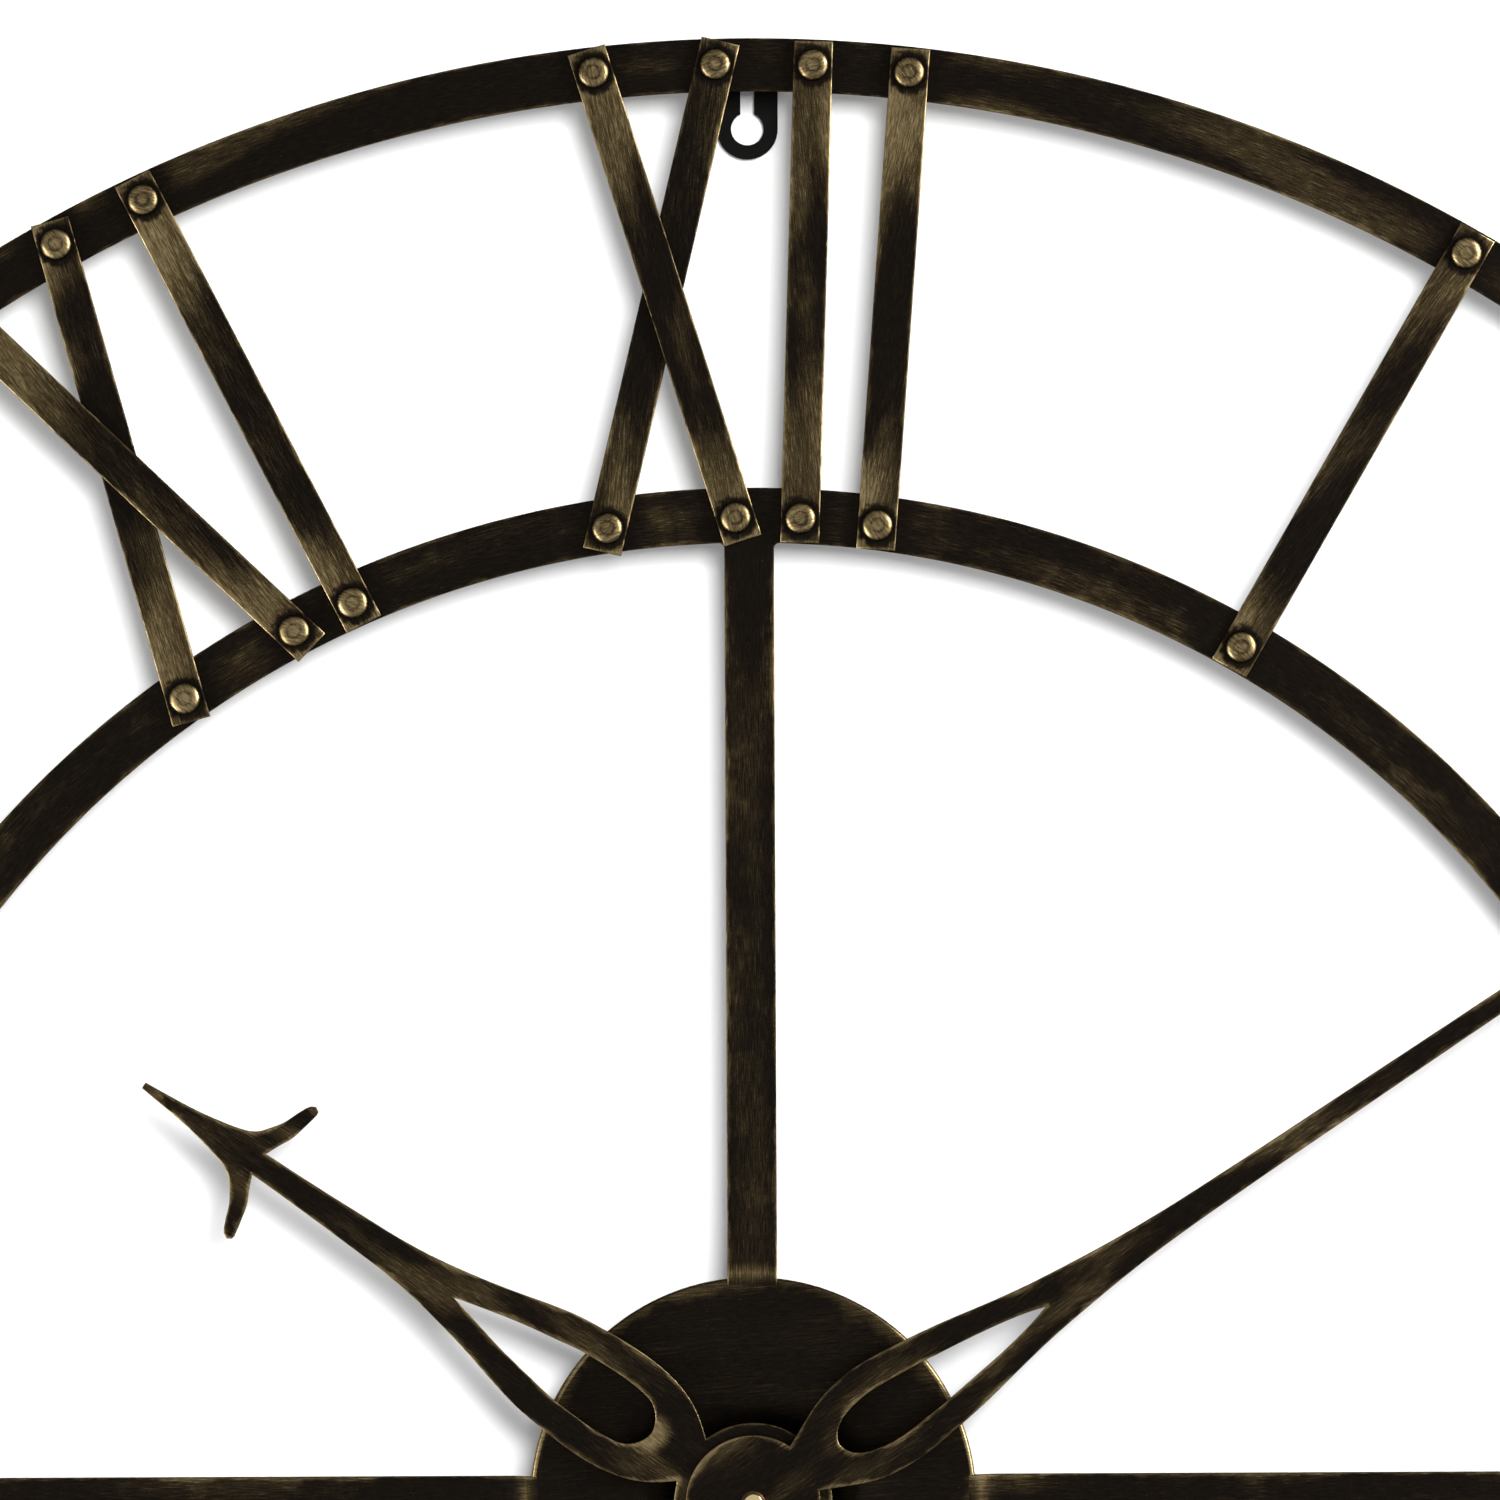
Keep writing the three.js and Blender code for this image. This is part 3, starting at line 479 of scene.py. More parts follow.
# %% Inner ring with its spokes
hub_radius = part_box("hub_disc")[1].x
hub_front = heights("hub_disc")[1]
inner_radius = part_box("spoked_inner_ring")[1].x
holes = sheet_loops("spoked_inner_ring")[1:]
# the four openings between the spokes are far larger than any rivet hole
openings = [loop for loop in holes if area_of(loop) < -0.01]
# and the bush's hole is the only one around the middle of the dial
bush_hole = min(holes, key=lambda loop: max(point.length for point in loop))
hub_hole = bush_hole[0].length
inner_inside = max(point.length for loop in openings for point in loop)
inner_centres = [strip.inner for strip in strips]
# a weld's thickness clear of the hub's face
crank_height = hub_front - ring_front + 0.12 * mm


def crank(place):
    """How much a spoke is lifted over the hub's rim."""
    radius = max(abs(place.x), abs(place.y))
    rise = 1 - fade(radius, hub_radius + 0.5 * mm, hub_radius + 6 * mm)
    tuck = fade(radius, hub_radius - 4.5 * mm, hub_radius - 2.5 * mm)
    return crank_height * rise * tuck


def bend_highlight(place):
    """Painted highlight on the bend, in a narrow band just outside the hub."""
    start = fade(place.length, hub_radius - 2 * mm, hub_radius + 0.5 * mm)
    end = fade(place.length, hub_radius + 1 * mm, hub_radius + 5 * mm)
    return 0.55 * start * (1 - end)


def along_spokes(place, middle):
    """Round the ring and lengthwise on the spokes, each with a pattern of its own."""
    if middle.length > inner_inside:
        return round_the_dial(inner_radius)(place, middle)
    if abs(middle.x) > abs(middle.y):
        return Vector((place.x, place.y + math.copysign(1, middle.x)))
    return Vector((place.y, place.x + math.copysign(2, middle.y)))


inner_loops = [circle(inner_radius, 360)]
inner_loops += [smoothed(loop, 3 * mm, math.radians(40)) for loop in openings]
inner_loops += [circle(hub_hole, 48, clockwise=True)]
spoked_ring = rounded_sheet(
    "inner_ring_and_spokes", inner_loops + holes_of(inner_centres),
    ring_back, ring_front, along_spokes,
    lift=crank, shade=shade_beside_strips(inner_centres, inner_inside), seed=8.0, worn=bend_highlight,
)
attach(spoked_ring, "frame")
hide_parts("spoked_inner_ring")
print("inner ring and spokes:", len(spoked_ring.data.vertices), "points")

# %% [markdown]
# ## Turned pieces
#
# The hub disc and the rivets are round, so each is a profile of radius and height spun
# about an axis out of the wall. Seventy rivets are seventy copies of the same few rows
# in thirty-five meshes, one mesh to a strip, which is light enough to model each head
# for real: a flat set mark in the middle, a shoulder, a square rim.

# %% Spin a profile
def spun(name, profile, count, centres, turn_flow=0.0, seed=0.0):
    """Copies of a turned piece. Each profile row is [radius, height, rim distance, wear].
    Wear, with a painted highlight on the hub's lip, is a number or a function of the share of a
    turn."""
    drawn, out, faces = [], [], []
    marks = {"rim": [], "worn": [], "shade": [], "seed": []}
    for copy, centre in enumerate(centres):
        previous, first = None, None
        for radius, height, rim, wear in profile:
            steps = count if radius else 1
            ring = list(range(len(drawn), len(drawn) + steps))
            # a profile that comes back to its start closes on its first ring
            if first and [radius, height] == profile[0][:2]:
                ring, steps = first, 0
            drawn += [polar(radius, 2 * math.pi * i / count, centre) for i in range(steps)]
            out += [height] * steps
            marks["rim"] += [rim] * steps
            marks["worn"] += [wear(i / steps) if callable(wear) else wear for i in range(steps)]
            marks["shade"] += [0.0] * steps
            marks["seed"] += [seed + 1.7 * copy] * steps
            for i in range(count if previous else 0):
                a, b = previous[i % len(previous)], previous[(i + 1) % len(previous)]
                c, d = ring[(i + 1) % len(ring)], ring[i % len(ring)]
                # on an axis two corners are the same point, and the face has three
                faces.append(list(dict.fromkeys((a, b, c, d))))
            previous, first = ring, first or ring
    points = [spot(point, height) for point, height in zip(drawn, out)]
    return make_piece(name, points, faces, drawn, brushed_at(-turn_flow), marks)


def quarter(radius, height, rounding, steps=4):
    """Rows round an outside corner, from its side to its top."""
    rows = []
    for i in range(steps + 1):
        angle = math.radians(90 * i / steps)
        rows.append([radius - rounding * (1 - math.cos(angle)),
                     height - rounding * (1 - math.sin(angle))])
    return rows


# %% [markdown]
# The hub's front corner is rounded by a millimetre. Rings of points at several
# distances from the rim let the rubbed band along it fade out over the flat face.

# %% Hub disc
hub_back = heights("hub_disc")[0]
hub_under = hub_back + 0.05 * mm
hub_rows = [[hub_hole, hub_under], [hub_radius - 1.4 * mm, hub_under]]
hub_rows += [[hub_radius, hub_back + 0.1 * mm]] + quarter(hub_radius, hub_front, 1 * mm, 6)
hub_rows += [[hub_radius - inset * mm, hub_front] for inset in (1.4, 3, 7, 16)]
hub_rows += [[hub_hole, hub_front], [hub_hole, hub_under]]


def lip_highlight(share):
    """Painted highlight on the lip of the hub, at its left and right."""
    return 1.1 * fade(abs(math.cos(2 * math.pi * share)), 0.55, 0.95)


hub_profile = []
# on the lip the wear column carries the painted highlight
for radius, out in hub_rows:
    on_lip = radius > hub_radius - 1.2 * mm and out > hub_back + 0.5 * mm
    hub_profile.append([radius, out, hub_radius - radius, lip_highlight if on_lip else 0.0])
hub = spun(
    "hub_disc_metal", hub_profile, 160, [Vector((0, 0))], turn_flow=math.radians(5), seed=5.0,
)
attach(hub, "frame")
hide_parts("hub_disc")
print(f"hub disc: {2 * hub_radius / mm:.0f} mm across, face {hub_front / mm:.1f} mm out")

# %% [markdown]
# ## The numeral strips
#
# Every strip is the same sheet drawn lying along x from its inner rivet, then laid on
# the dial. Its ends are rubbed brightest, with a dark ring round each rivet head, partly
# coat left there and partly painted shadow of the head, so the mesh also stores how far
# each spot is from the nearest rivet. The amounts differ from strip to strip: a generator
# seeded with the strip's own name draws them, so the clock comes out the same every time.

# %% Lay the strips
def strip_outline(strip, step=3 * mm):
    """A long rectangle, in short steps along its length."""
    start, end, side = -strip.overhang, strip.length + strip.overhang, strip.width / 2
    count = round((end - start) / step)
    lengths = [start + (end - start) * i / count for i in range(count + 1)]
    low = [Vector((a, -side)) for a in lengths]
    high = [Vector((a, side)) for a in reversed(lengths)]
    return low + [Vector((end, 0))] + high + [Vector((start, 0))]


def rubbed_ends(strip):
    """How far the strip is rubbed towards each end and towards one side."""
    draw = random.Random(strip.name)
    amounts = [draw.uniform(0.2, 0.52) for _ in range(2)]
    lengths = [draw.uniform(20, 70) * mm for _ in range(2)]
    side = draw.choice([-1, 1]) * draw.uniform(0.1, 0.7)
    strength = 1.3 if strip.bow else 1.0

    def worn(place):
        wear = 0
        for amount, length, reach in zip(amounts, lengths, (place.x, strip.length - place.x)):
            wear += amount * (1 - fade(reach, 0.25 * length, length))
        bias = 1 + side * place.y / (strip.width / 2)
        return strength * wear * bias
    return worn


def shade_under_the_bow(strip):
    """Painted shade, partly unrubbed coat, where a bowed strip passes over this one."""
    crossing = []
    for other in strips:
        if not other.bow:
            continue
        meet = geometry.intersect_line_line_2d(strip.inner, strip.outer, other.inner, other.outer)
        if meet:
            crossing.append((meet - strip.inner).length)

    def shade(place):
        return max((1 - fade(abs(place.x - at), 9 * mm, 24 * mm) for at in crossing), default=0.0)
    return shade


for strip in strips:
    strip.piece = rounded_sheet(
        # a hair's gap keeps the strip's back off the ring
        strip.name + "_strip", [strip_outline(strip)], strip.back + 0.02 * mm, strip.front,
        brushed_at(0.3 * (strip.seed - 0.5)),
        rounding=0.35 * mm, lift=strip.lift, worn=rubbed_ends(strip),
        shade=None if strip.bow else shade_under_the_bow(strip),
        place=lambda local, out, strip=strip: spot(strip.drawn(local), out),
        seed=100 * strip.seed, rivets=(Vector((0, 0)), Vector((strip.length, 0))),
    )
    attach(strip.piece, "frame")
    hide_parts(strip.name)
print(len(strips), "strips laid, each of", len(strips[0].piece.data.vertices), "points")

# %% [markdown]
# A solid rivet has a factory head in front and a tail that was hammered flat behind
# the ring. The head is a spun profile: a short square rim, a round shoulder, and the
# shallow mark that the setting tool leaves. Both rivets of a strip share one mesh.

# %% Set the rivets
head_radius, head_height = 4.4 * mm, rivet_front - ring_front - bar_sheet
rim_height = 0.45 * mm
mark_radius = 0.42 * head_radius
shank_radius = 2.25 * mm
tail_radius, tail_back = 3.4 * mm, heights("numeral_I_bar_1")[0]


def head_rows(front):
    """A rivet head on a face: square rim, round shoulder and a shallow flat mark on top."""
    top = front + head_height
    rim = [[head_radius - 0.1 * mm, front - 0.3 * mm], [head_radius, front + 0.1 * mm]]
    rim += [[head_radius, front + rim_height]]
    shoulder = []
    for i in range(1, 8):
        angle = math.radians(90 * i / 8)
        reach = mark_radius + (head_radius - mark_radius) * math.cos(angle)
        rise = (head_height - rim_height) * math.sin(angle)
        shoulder.append([reach, front + rim_height + rise])
    mark = [[mark_radius, top - 0.02 * mm], [0.85 * mark_radius, top - 0.14 * mm]]
    mark += [[0.5 * mark_radius, top - 0.1 * mm], [0, top - 0.08 * mm]]
    return rim + shoulder + mark


def head_wear(radius, at_rim):
    """Bright on the shoulder, less so in the set mark and dark at the rim."""
    if at_rim:
        return 0.0
    share = radius / head_radius
    ring_mark = fade(share, 0.3, 0.4) * (1 - fade(share, 0.44, 0.56))
    return (0.85 - 0.4 * ring_mark) * (1 - fade(share, 0.84, 1))


tail_rows = [
    [0, tail_back], [tail_radius - 0.5 * mm, tail_back], [tail_radius, tail_back + 0.4 * mm],
    [tail_radius, ring_back], [shank_radius, ring_back],
]
for strip in strips:
    rows = tail_rows + [[shank_radius, strip.front - 0.3 * mm]] + head_rows(strip.front)
    profile = []
    for radius, out in rows:
        wear = head_wear(radius, out < strip.front + 0.3 * mm)
        # far from any sheet edge, so that only the wear rubs it
        profile.append([radius, out, 3 * mm, wear])
    strip.rivets = spun(
        strip.name + "_rivets", profile, 28, [strip.inner, strip.outer],
        turn_flow=6 * strip.seed, seed=50 * strip.seed,
    )
    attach(strip.rivets, "frame")
    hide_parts(strip.name)
print(f"{2 * len(strips)} rivets set, heads {2 * head_radius / mm:.1f} mm across")

# %% [markdown]
# ## The hands
#
# Each hand is one pierced sheet with a round boss. Its outline is the most watched line
# of the clock, so it is smoothed in steps of about a millimetre. The limbs taper to a
# couple of millimetres, which leaves no room for wide rows along the edges: the rows
# stay close to the edge and loose points fill the inside, so that the finish can still
# tell the middle of the metal from its rim.

# %% Cut the hands
def cut_hand(node, body, seed, crescent):
    """A hand with smooth outlines, brushed along its length and bright at its pierced root."""
    loops = [smoothed(loop, 1.2 * mm, math.radians(62)) for loop in sheet_loops(node)]
    tip = max(loops[0], key=lambda point: point.length)
    along = tip.normalized()
    across = Vector((-along.y, along.x))
    # the hole over the shaft is a loop too, and it isn't pierced work
    pierced = [loop for loop in loops[1:] if max(point.length for point in loop) > 15 * mm]
    roots = [min(loop, key=lambda point: point.length) for loop in pierced]

    def flow(place, middle):
        return Vector((place.dot(along), place.dot(across)))

    def worn(place):
        near = min((place - root).length for root in roots)
        return crescent * (1 - fade(near, 2.5 * mm, 7 * mm))

    back, front = heights(node)
    hand = rounded_sheet(
        node + "_metal", loops, back, front, flow, rounding=0.25 * mm, flats=(0.15 * mm,),
        worn=worn, grid=1.6 * mm, seed=seed,
    )
    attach(hand, body)
    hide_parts(node)
    print(f"{node}: {tip.length / mm:.0f} mm long, {len(hand.data.vertices)} points")
    return hand


hour_hand = cut_hand("hour_hand", "hour_pipe", 31.0, 1.0)
minute_hand = cut_hand("minute_hand", "minute_shaft", 47.0, 0.15)

# %% [markdown]
# ## Small parts with softened edges
#
# Nuts, the hanger, the movement's case and its knob have the right shape already, and
# only their edges are too sharp to be real. For each, the engineering mesh is copied,
# its flat facets are merged back into whole faces, and a Bevel modifier rounds every
# edge that turns by more than thirty degrees. Hardened normals keep the faces flat.

# %% Soften a part
def soften(node, body, width, sides=2):
    """A copy of an engineering part with rounded edges, standing in its place."""
    mesh = nodes[node].data.copy()
    mesh.materials.clear()
    # the facets' own normals would show through the rounding
    if "custom_normal" in mesh.attributes:
        mesh.attributes.remove(mesh.attributes["custom_normal"])
    shape = bmesh.new()
    shape.from_mesh(mesh)
    bmesh.ops.remove_doubles(shape, verts=shape.verts, dist=0.001 * mm)
    bmesh.ops.dissolve_limit(
        shape, angle_limit=math.radians(1), verts=shape.verts, edges=shape.edges,
        use_dissolve_boundaries=False,
    )
    shape.to_mesh(mesh)
    shape.free()
    mesh.shade_smooth()
    part = bpy.data.objects.new(node + "_soft", mesh)
    bpy.context.scene.collection.objects.link(part)
    bevel = part.modifiers.new("rounded edges", "BEVEL")
    bevel.width, bevel.segments = width, sides
    bevel.limit_method, bevel.angle_limit = "ANGLE", math.radians(30)
    bevel.harden_normals = True
    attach(part, body)
    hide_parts(node)
    return part


hand_nut = soften("hand_nut", "minute_shaft", 0.12 * mm, 3)
bush_nut = soften("bush_nut", "frame", 0.2 * mm)
hanger = soften("hanger_bracket", "frame", 0.35 * mm, 3)
gasket = soften("rubber_gasket", "frame", 0.2 * mm)
front_case = soften("movement_front_case", "frame", 0.35 * mm, 3)
back_cover = soften("movement_back_cover", "frame", 0.3 * mm, 3)
knob = soften("setting_knob", "setting_knob", 0.2 * mm)
battery = soften("battery", "battery", 0.25 * mm, 3)
softened = [hand_nut, bush_nut, hanger, gasket, front_case, back_cover, knob, battery]
print("softened:", [part.name for part in softened])

# %% [markdown]
# ## A workbench for shader nodes
#
# Finishes are built from many small nodes, and writing each one out by hand buries the
# idea. This little class adds a node, sets its values and joins its inputs in one go. A
# value can be a number, a colour or another node's output.

# %% Short ways to add nodes
class Bench:
    """Adds nodes to one material or node group."""

    def __init__(self, tree):
        self.tree = tree

    def add(self, kind, inputs=None, **settings):
        made = self.tree.nodes.new("ShaderNode" + kind)
        for setting, value in settings.items():
            setattr(made, setting, value)
        for socket, value in (inputs or {}).items():
            self.join(value, made.inputs[socket])
        return made

    def join(self, value, socket):
        if isinstance(value, bpy.types.NodeSocket):
            self.tree.links.new(value, socket)
        else:
            socket.default_value = value

    def maths(self, operation, *values):
        made = self.tree.nodes.new("ShaderNodeMath")
        made.operation = operation
        for value, socket in zip(values, made.inputs):
            self.join(value, socket)
        return made.outputs[0]

    def total(self, first, *others):
        for other in others:
            first = self.maths("ADD", first, other)
        return first

    def times(self, first, *others):
        for other in others:
            first = self.maths("MULTIPLY", first, other)
        return first

    def ramp(self, value, start, end, low=0.0, high=1.0):
        """A smooth step from low to high as the value goes from start to end."""
        made = self.add("MapRange", interpolation_type="SMOOTHSTEP")
        for number, socket in zip((value, start, end, low, high), made.inputs):
            self.join(number, socket)
        return made.outputs[0]

    def mix(self, share, low, high):
        """A colour between two others. The node has the same sockets for other kinds too."""
        made = self.add("Mix", data_type="RGBA")
        share_socket, low_socket, high_socket, colour_out = 0, 6, 7, 2
        for socket, value in ((share_socket, share), (low_socket, low), (high_socket, high)):
            self.join(value, made.inputs[socket])
        return made.outputs[colour_out]

    def noise(self, place, detail=2.0, roughness=0.55, scale=1.0):
        made = self.add("TexNoise", {
            "Vector": place, "Scale": scale, "Detail": detail, "Roughness": roughness,
        })
        return made.outputs["Fac"]

    def stretched(self, u, v, seed, length, width):
        """A place for a texture whose features are so long and so wide, in metres."""
        made = self.add("CombineXYZ", {
            "X": self.maths("DIVIDE", u, length), "Y": self.maths("DIVIDE", v, width), "Z": seed,
        })
        return made.outputs[0]


# %% [markdown]
# ## The rubbed finish
#
# The metal was blackened, then rubbed by hand until a dull gold showed. The finish is
# therefore a coat with a rub-through mask. The mask adds up three kinds of rubbing:
# broad patches along the metal, a band of uneven width along every edge, and the wear
# painted on the points, which on the hub's lip and the spokes' bend is a painted
# highlight. The shade painted on the points takes gold away. Brush streaks and fine
# grain then break its border up, because a cloth never leaves a clean line. A thin
# broken line of gold runs along the very edge, where the coat is always thinnest.

# %% The node group for it
rub = bpy.data.node_groups.new("Rubbed finish", "ShaderNodeTree")
group_inputs = {
    "Rub": 0.3, "Edge": 0.6, "Worn": 0.0, "Shade": 0.0, "Rim": 0.01, "Seed": 0.0,
    "Patch Length": 42 * mm, "Edge Width": 3.0 * mm,
    "Streak Length": 6 * mm, "Streak Width": 0.22 * mm,
}
group_colours = {
    "Coat": (0.0072, 0.0057, 0.0050, 1), "Gold": (0.125, 0.087, 0.037, 1),
    "Bright": (0.37, 0.285, 0.145, 1),
}
group_outputs = {"Color": "Color", "Roughness": "Float", "Mask": "Float", "Height": "Float"}


def socket_for(group, title, kind, value=None, side="INPUT"):
    """A named input or output on a node group."""
    made = group.interface.new_socket(title, in_out=side, socket_type="NodeSocket" + kind)
    if value is not None:
        made.default_value = value


socket_for(rub, "Flow", "Vector")
for title, value in group_inputs.items():
    socket_for(rub, title, "Float", value)
for title, value in group_colours.items():
    socket_for(rub, title, "Color", value)
for title, kind in group_outputs.items():
    socket_for(rub, title, kind, side="OUTPUT")

# %% [markdown]
# Seven noises lie along the brush: long streaks, fine grain, broad patches, the uneven
# width of the edge band, the tone of the bare metal, the breaks in the line on the edge
# and stray specks. Each takes the piece's seed plus a number of its own, so that no two
# of them line up.

# %% Its noises
bench = Bench(rub)
given = rub.nodes.new("NodeGroupInput").outputs
apart = bench.add("SeparateXYZ", {"Vector": given["Flow"]})
u, v = apart.outputs["X"], apart.outputs["Y"]


def along_brush(length, width, offset, detail, roughness):
    """A noise drawn out along the brush, with a pattern of its own at each offset."""
    own_seed = bench.maths("ADD", given["Seed"], offset)
    return bench.noise(bench.stretched(u, v, own_seed, length, width), detail, roughness)


streaks = along_brush(given["Streak Length"], given["Streak Width"], 0, 3, 0.6)
grain = along_brush(0.5 * mm, 0.22 * mm, 10, 2, 0.6)
patches = along_brush(given["Patch Length"], 12 * mm, 20, 1.5, 0.5)
uneven = along_brush(13 * mm, 13 * mm, 30, 3, 0.6)
tone = along_brush(3 * mm, 0.5 * mm, 40, 3, 0.6)
broken = along_brush(3 * mm, 3 * mm, 50, 3, 0.7)
specks = along_brush(0.9 * mm, 0.5 * mm, 60, 1, 0.5)
print("rubbed finish so far:", len(rub.nodes), "nodes")

# %% [markdown]
# The mask is the rubbing minus the shade, with its border broken up. Two small marks go
# over it: the thin broken line on the very edge, and stray specks in the coat.

# %% Its mask and outputs
band = bench.times(bench.ramp(uneven, 0.3, 0.72, 0.08, 1.0), given["Edge Width"])
along_edge = bench.maths("SUBTRACT", 1.0, bench.ramp(given["Rim"], 0.0, band))
broad = bench.times(bench.ramp(patches, 0.38, 0.68), given["Rub"])
amount = bench.total(broad, bench.times(along_edge, given["Edge"]), given["Worn"])
# the shade mark is painted shade, partly coat the cloth missed, and it takes the gold away
amount = bench.times(amount, bench.maths("SUBTRACT", 1.0, given["Shade"]))
rough_border = bench.total(
    bench.times(bench.maths("SUBTRACT", streaks, 0.5), 1.3),
    bench.times(bench.maths("SUBTRACT", grain, 0.5), 0.6),
)
mask = bench.ramp(bench.maths("ADD", amount, rough_border), 0.08, 1.15)
thin = bench.times(
    bench.maths("SUBTRACT", 1.0, bench.ramp(given["Rim"], 0.12 * mm, 0.42 * mm)),
    bench.ramp(broken, 0.42, 0.62),
)
mask = bench.maths("MAXIMUM", mask, bench.times(thin, 0.6))
mask = bench.maths("MAXIMUM", mask, bench.times(bench.ramp(specks, 0.74, 0.8), 0.35))

tinted_coat = bench.mix(0.05, given["Coat"], given["Gold"])
coat = bench.mix(bench.ramp(tone, 0.3, 0.75), given["Coat"], tinted_coat)
brightness = bench.ramp(bench.total(tone, bench.times(mask, 0.3)), 0.55, 1.05)
metal = bench.mix(brightness, given["Gold"], given["Bright"])
brushed_roughness = bench.ramp(streaks, 0.2, 0.8, 0.42, 0.56)
roughness = bench.maths("SUBTRACT", brushed_roughness, bench.times(mask, 0.12))
height = bench.total(
    bench.times(streaks, 0.5), bench.times(grain, 0.35), bench.times(mask, -0.25),
)
given_back = rub.nodes.new("NodeGroupOutput").inputs
for title, value in (
    ("Color", bench.mix(mask, coat, metal)), ("Roughness", roughness), ("Mask", mask),
    ("Height", height),
):
    bench.join(value, given_back[title])
print("rubbed finish:", len(rub.nodes), "nodes")

# %% [markdown]
# Each kind of piece gets a material of its own from that group. The rivets, rings,
# strips, hub and hands differ only in how hard they were rubbed and how long the
# brush marks are. The strips have one thing more: a dark ring round each rivet head,
# partly coat the head shields and partly painted shadow of the head, measured from the
# nearest rivet.

# %% Materials of rubbed metal
def new_material(name, look):
    """A material with its look in the viewport, a bench and its shader."""
    material = bpy.data.materials.new(name)
    material.use_nodes = True
    material.diffuse_color = (*look, 1)
    bench = Bench(material.node_tree)
    return material, bench, material.node_tree.nodes["Principled BSDF"]


def mark_of(bench, title):
    """A mark that was painted on the mesh's points."""
    return bench.add("Attribute", attribute_name=title).outputs["Fac"]


def shadow_and_coat_by_rivets(bench):
    """Painted shadow of the head and coat it shields: 1 under the rivet heads' edge, gone two
    millimetres out, with a wandering border.
    """
    from_rivet = bench.add("UVMap", uv_map="from_rivet").outputs[0]
    reach = bench.add("VectorMath", {0: from_rivet}, operation="LENGTH").outputs["Value"]
    wander = bench.maths("SUBTRACT", bench.noise(from_rivet, 2, 0.5, 500), 0.5)
    reach = bench.total(reach, bench.times(wander, 3 * mm))
    return bench.ramp(reach, 4.7 * mm, 6.9 * mm, 0.97, 0.0)


def rubbed_metal(name, shielded_and_shaded=False, **values):
    """The rubbed finish as a metal. Values are the group's inputs by name."""
    material, bench, shader = new_material(name, (0.05, 0.04, 0.03))
    shade = mark_of(bench, "shade")
    # the dark ring round the rivet heads is painted shadow as well as coat that they shield
    if shielded_and_shaded:
        shade = bench.maths("MAXIMUM", shade, shadow_and_coat_by_rivets(bench))
    finish = bench.add("Group", node_tree=rub)
    wanted = {
        "Flow": bench.add("UVMap", uv_map="brush").outputs[0], "Shade": shade,
        **{title.title(): mark_of(bench, title) for title in ("rim", "worn", "seed")}, **values,
    }
    for title, value in wanted.items():
        bench.join(value, finish.inputs[title.replace("_", " ")])
    bump = bench.add("Bump", {
        "Height": finish.outputs["Height"], "Distance": 0.03 * mm, "Strength": 0.6,
    })
    bench.join(finish.outputs["Color"], shader.inputs["Base Color"])
    bench.join(finish.outputs["Roughness"], shader.inputs["Roughness"])
    bench.join(bump.outputs[0], shader.inputs["Normal"])
    shader.inputs["Metallic"].default_value = 1.0
    shader.inputs["Specular Tint"].default_value = (0.42, 0.36, 0.28, 1)
    return material


ring_finish = rubbed_metal("rubbed ring", Rub=0.42, Edge=0.5, Edge_Width=1.9 * mm,
                           Patch_Length=75 * mm)
spoke_finish = rubbed_metal("rubbed spokes", Rub=0.30, Edge=0.5, Edge_Width=2.6 * mm,
                            Patch_Length=60 * mm)
strip_finish = rubbed_metal("rubbed strip", True, Rub=0.42, Edge=0.5, Edge_Width=2.2 * mm)
hub_finish = rubbed_metal("rubbed hub", Rub=0.15, Edge=0.45, Edge_Width=8 * mm,
                          Streak_Length=14 * mm)
hand_finish = rubbed_metal("rubbed hand", Rub=0.5, Edge=0.65, Edge_Width=2.4 * mm)
rivet_finish = rubbed_metal("rubbed rivet", Rub=0.2, Edge=0.0, Streak_Length=1 * mm)
for piece, finish in (
    (outer_ring, ring_finish), (spoked_ring, spoke_finish), (hub, hub_finish),
    (hour_hand, hand_finish), (minute_hand, hand_finish),
    *((strip.piece, strip_finish) for strip in strips),
    *((strip.rivets, rivet_finish) for strip in strips),
):
    piece.data.materials.append(finish)
print("rubbed materials:", [m.name for m in bpy.data.materials if m.name.startswith("rubbed")])

# %% [markdown]
# ## Plain materials
#
# The other parts are brass, black steel, moulded plastic, rubber and copper. They share
# a surface group that gives a fine grain and a slow cloudiness in the piece's own space,
# so a part keeps its pattern when it moves.

# %% A group for grain and clouds
surface = bpy.data.node_groups.new("Grain and clouds", "ShaderNodeTree")
socket_for(surface, "Place", "Vector")
surface_inputs = {"Grain Size": 0.3 * mm, "Cloud Size": 8 * mm, "Grain": 0.2, "Clouds": 0.3}
for title, value in surface_inputs.items():
    socket_for(surface, title, "Float", value)
for title in ("Share", "Height"):
    socket_for(surface, title, "Float", side="OUTPUT")
bench = Bench(surface)
given = surface.nodes.new("NodeGroupInput").outputs


def noise_of_size(size, detail):
    """A noise whose features are about so large, in metres."""
    scaled = bench.add("VectorMath", {0: given["Place"]}, operation="SCALE")
    bench.join(bench.maths("DIVIDE", 1.0, size), scaled.inputs["Scale"])
    return bench.noise(scaled.outputs[0], detail, 0.6)


fine, slow = noise_of_size(given["Grain Size"], 2), noise_of_size(given["Cloud Size"], 3)
share = bench.total(
    bench.times(bench.maths("SUBTRACT", fine, 0.5), given["Grain"]),
    bench.times(bench.maths("SUBTRACT", slow, 0.5), given["Clouds"]),
)
given_back = surface.nodes.new("NodeGroupOutput").inputs
bench.join(bench.maths("ADD", 0.5, bench.times(share, 2)), given_back["Share"])
bench.join(fine, given_back["Height"])
print("grain and clouds:", len(surface.nodes), "nodes")

# %% [markdown]
# No real surface has one colour and one gloss. Every plain material lies between two
# close colours, and the same clouds that shift its colour make it a little smoother or
# rougher, so a highlight breaks up as it crosses the part.

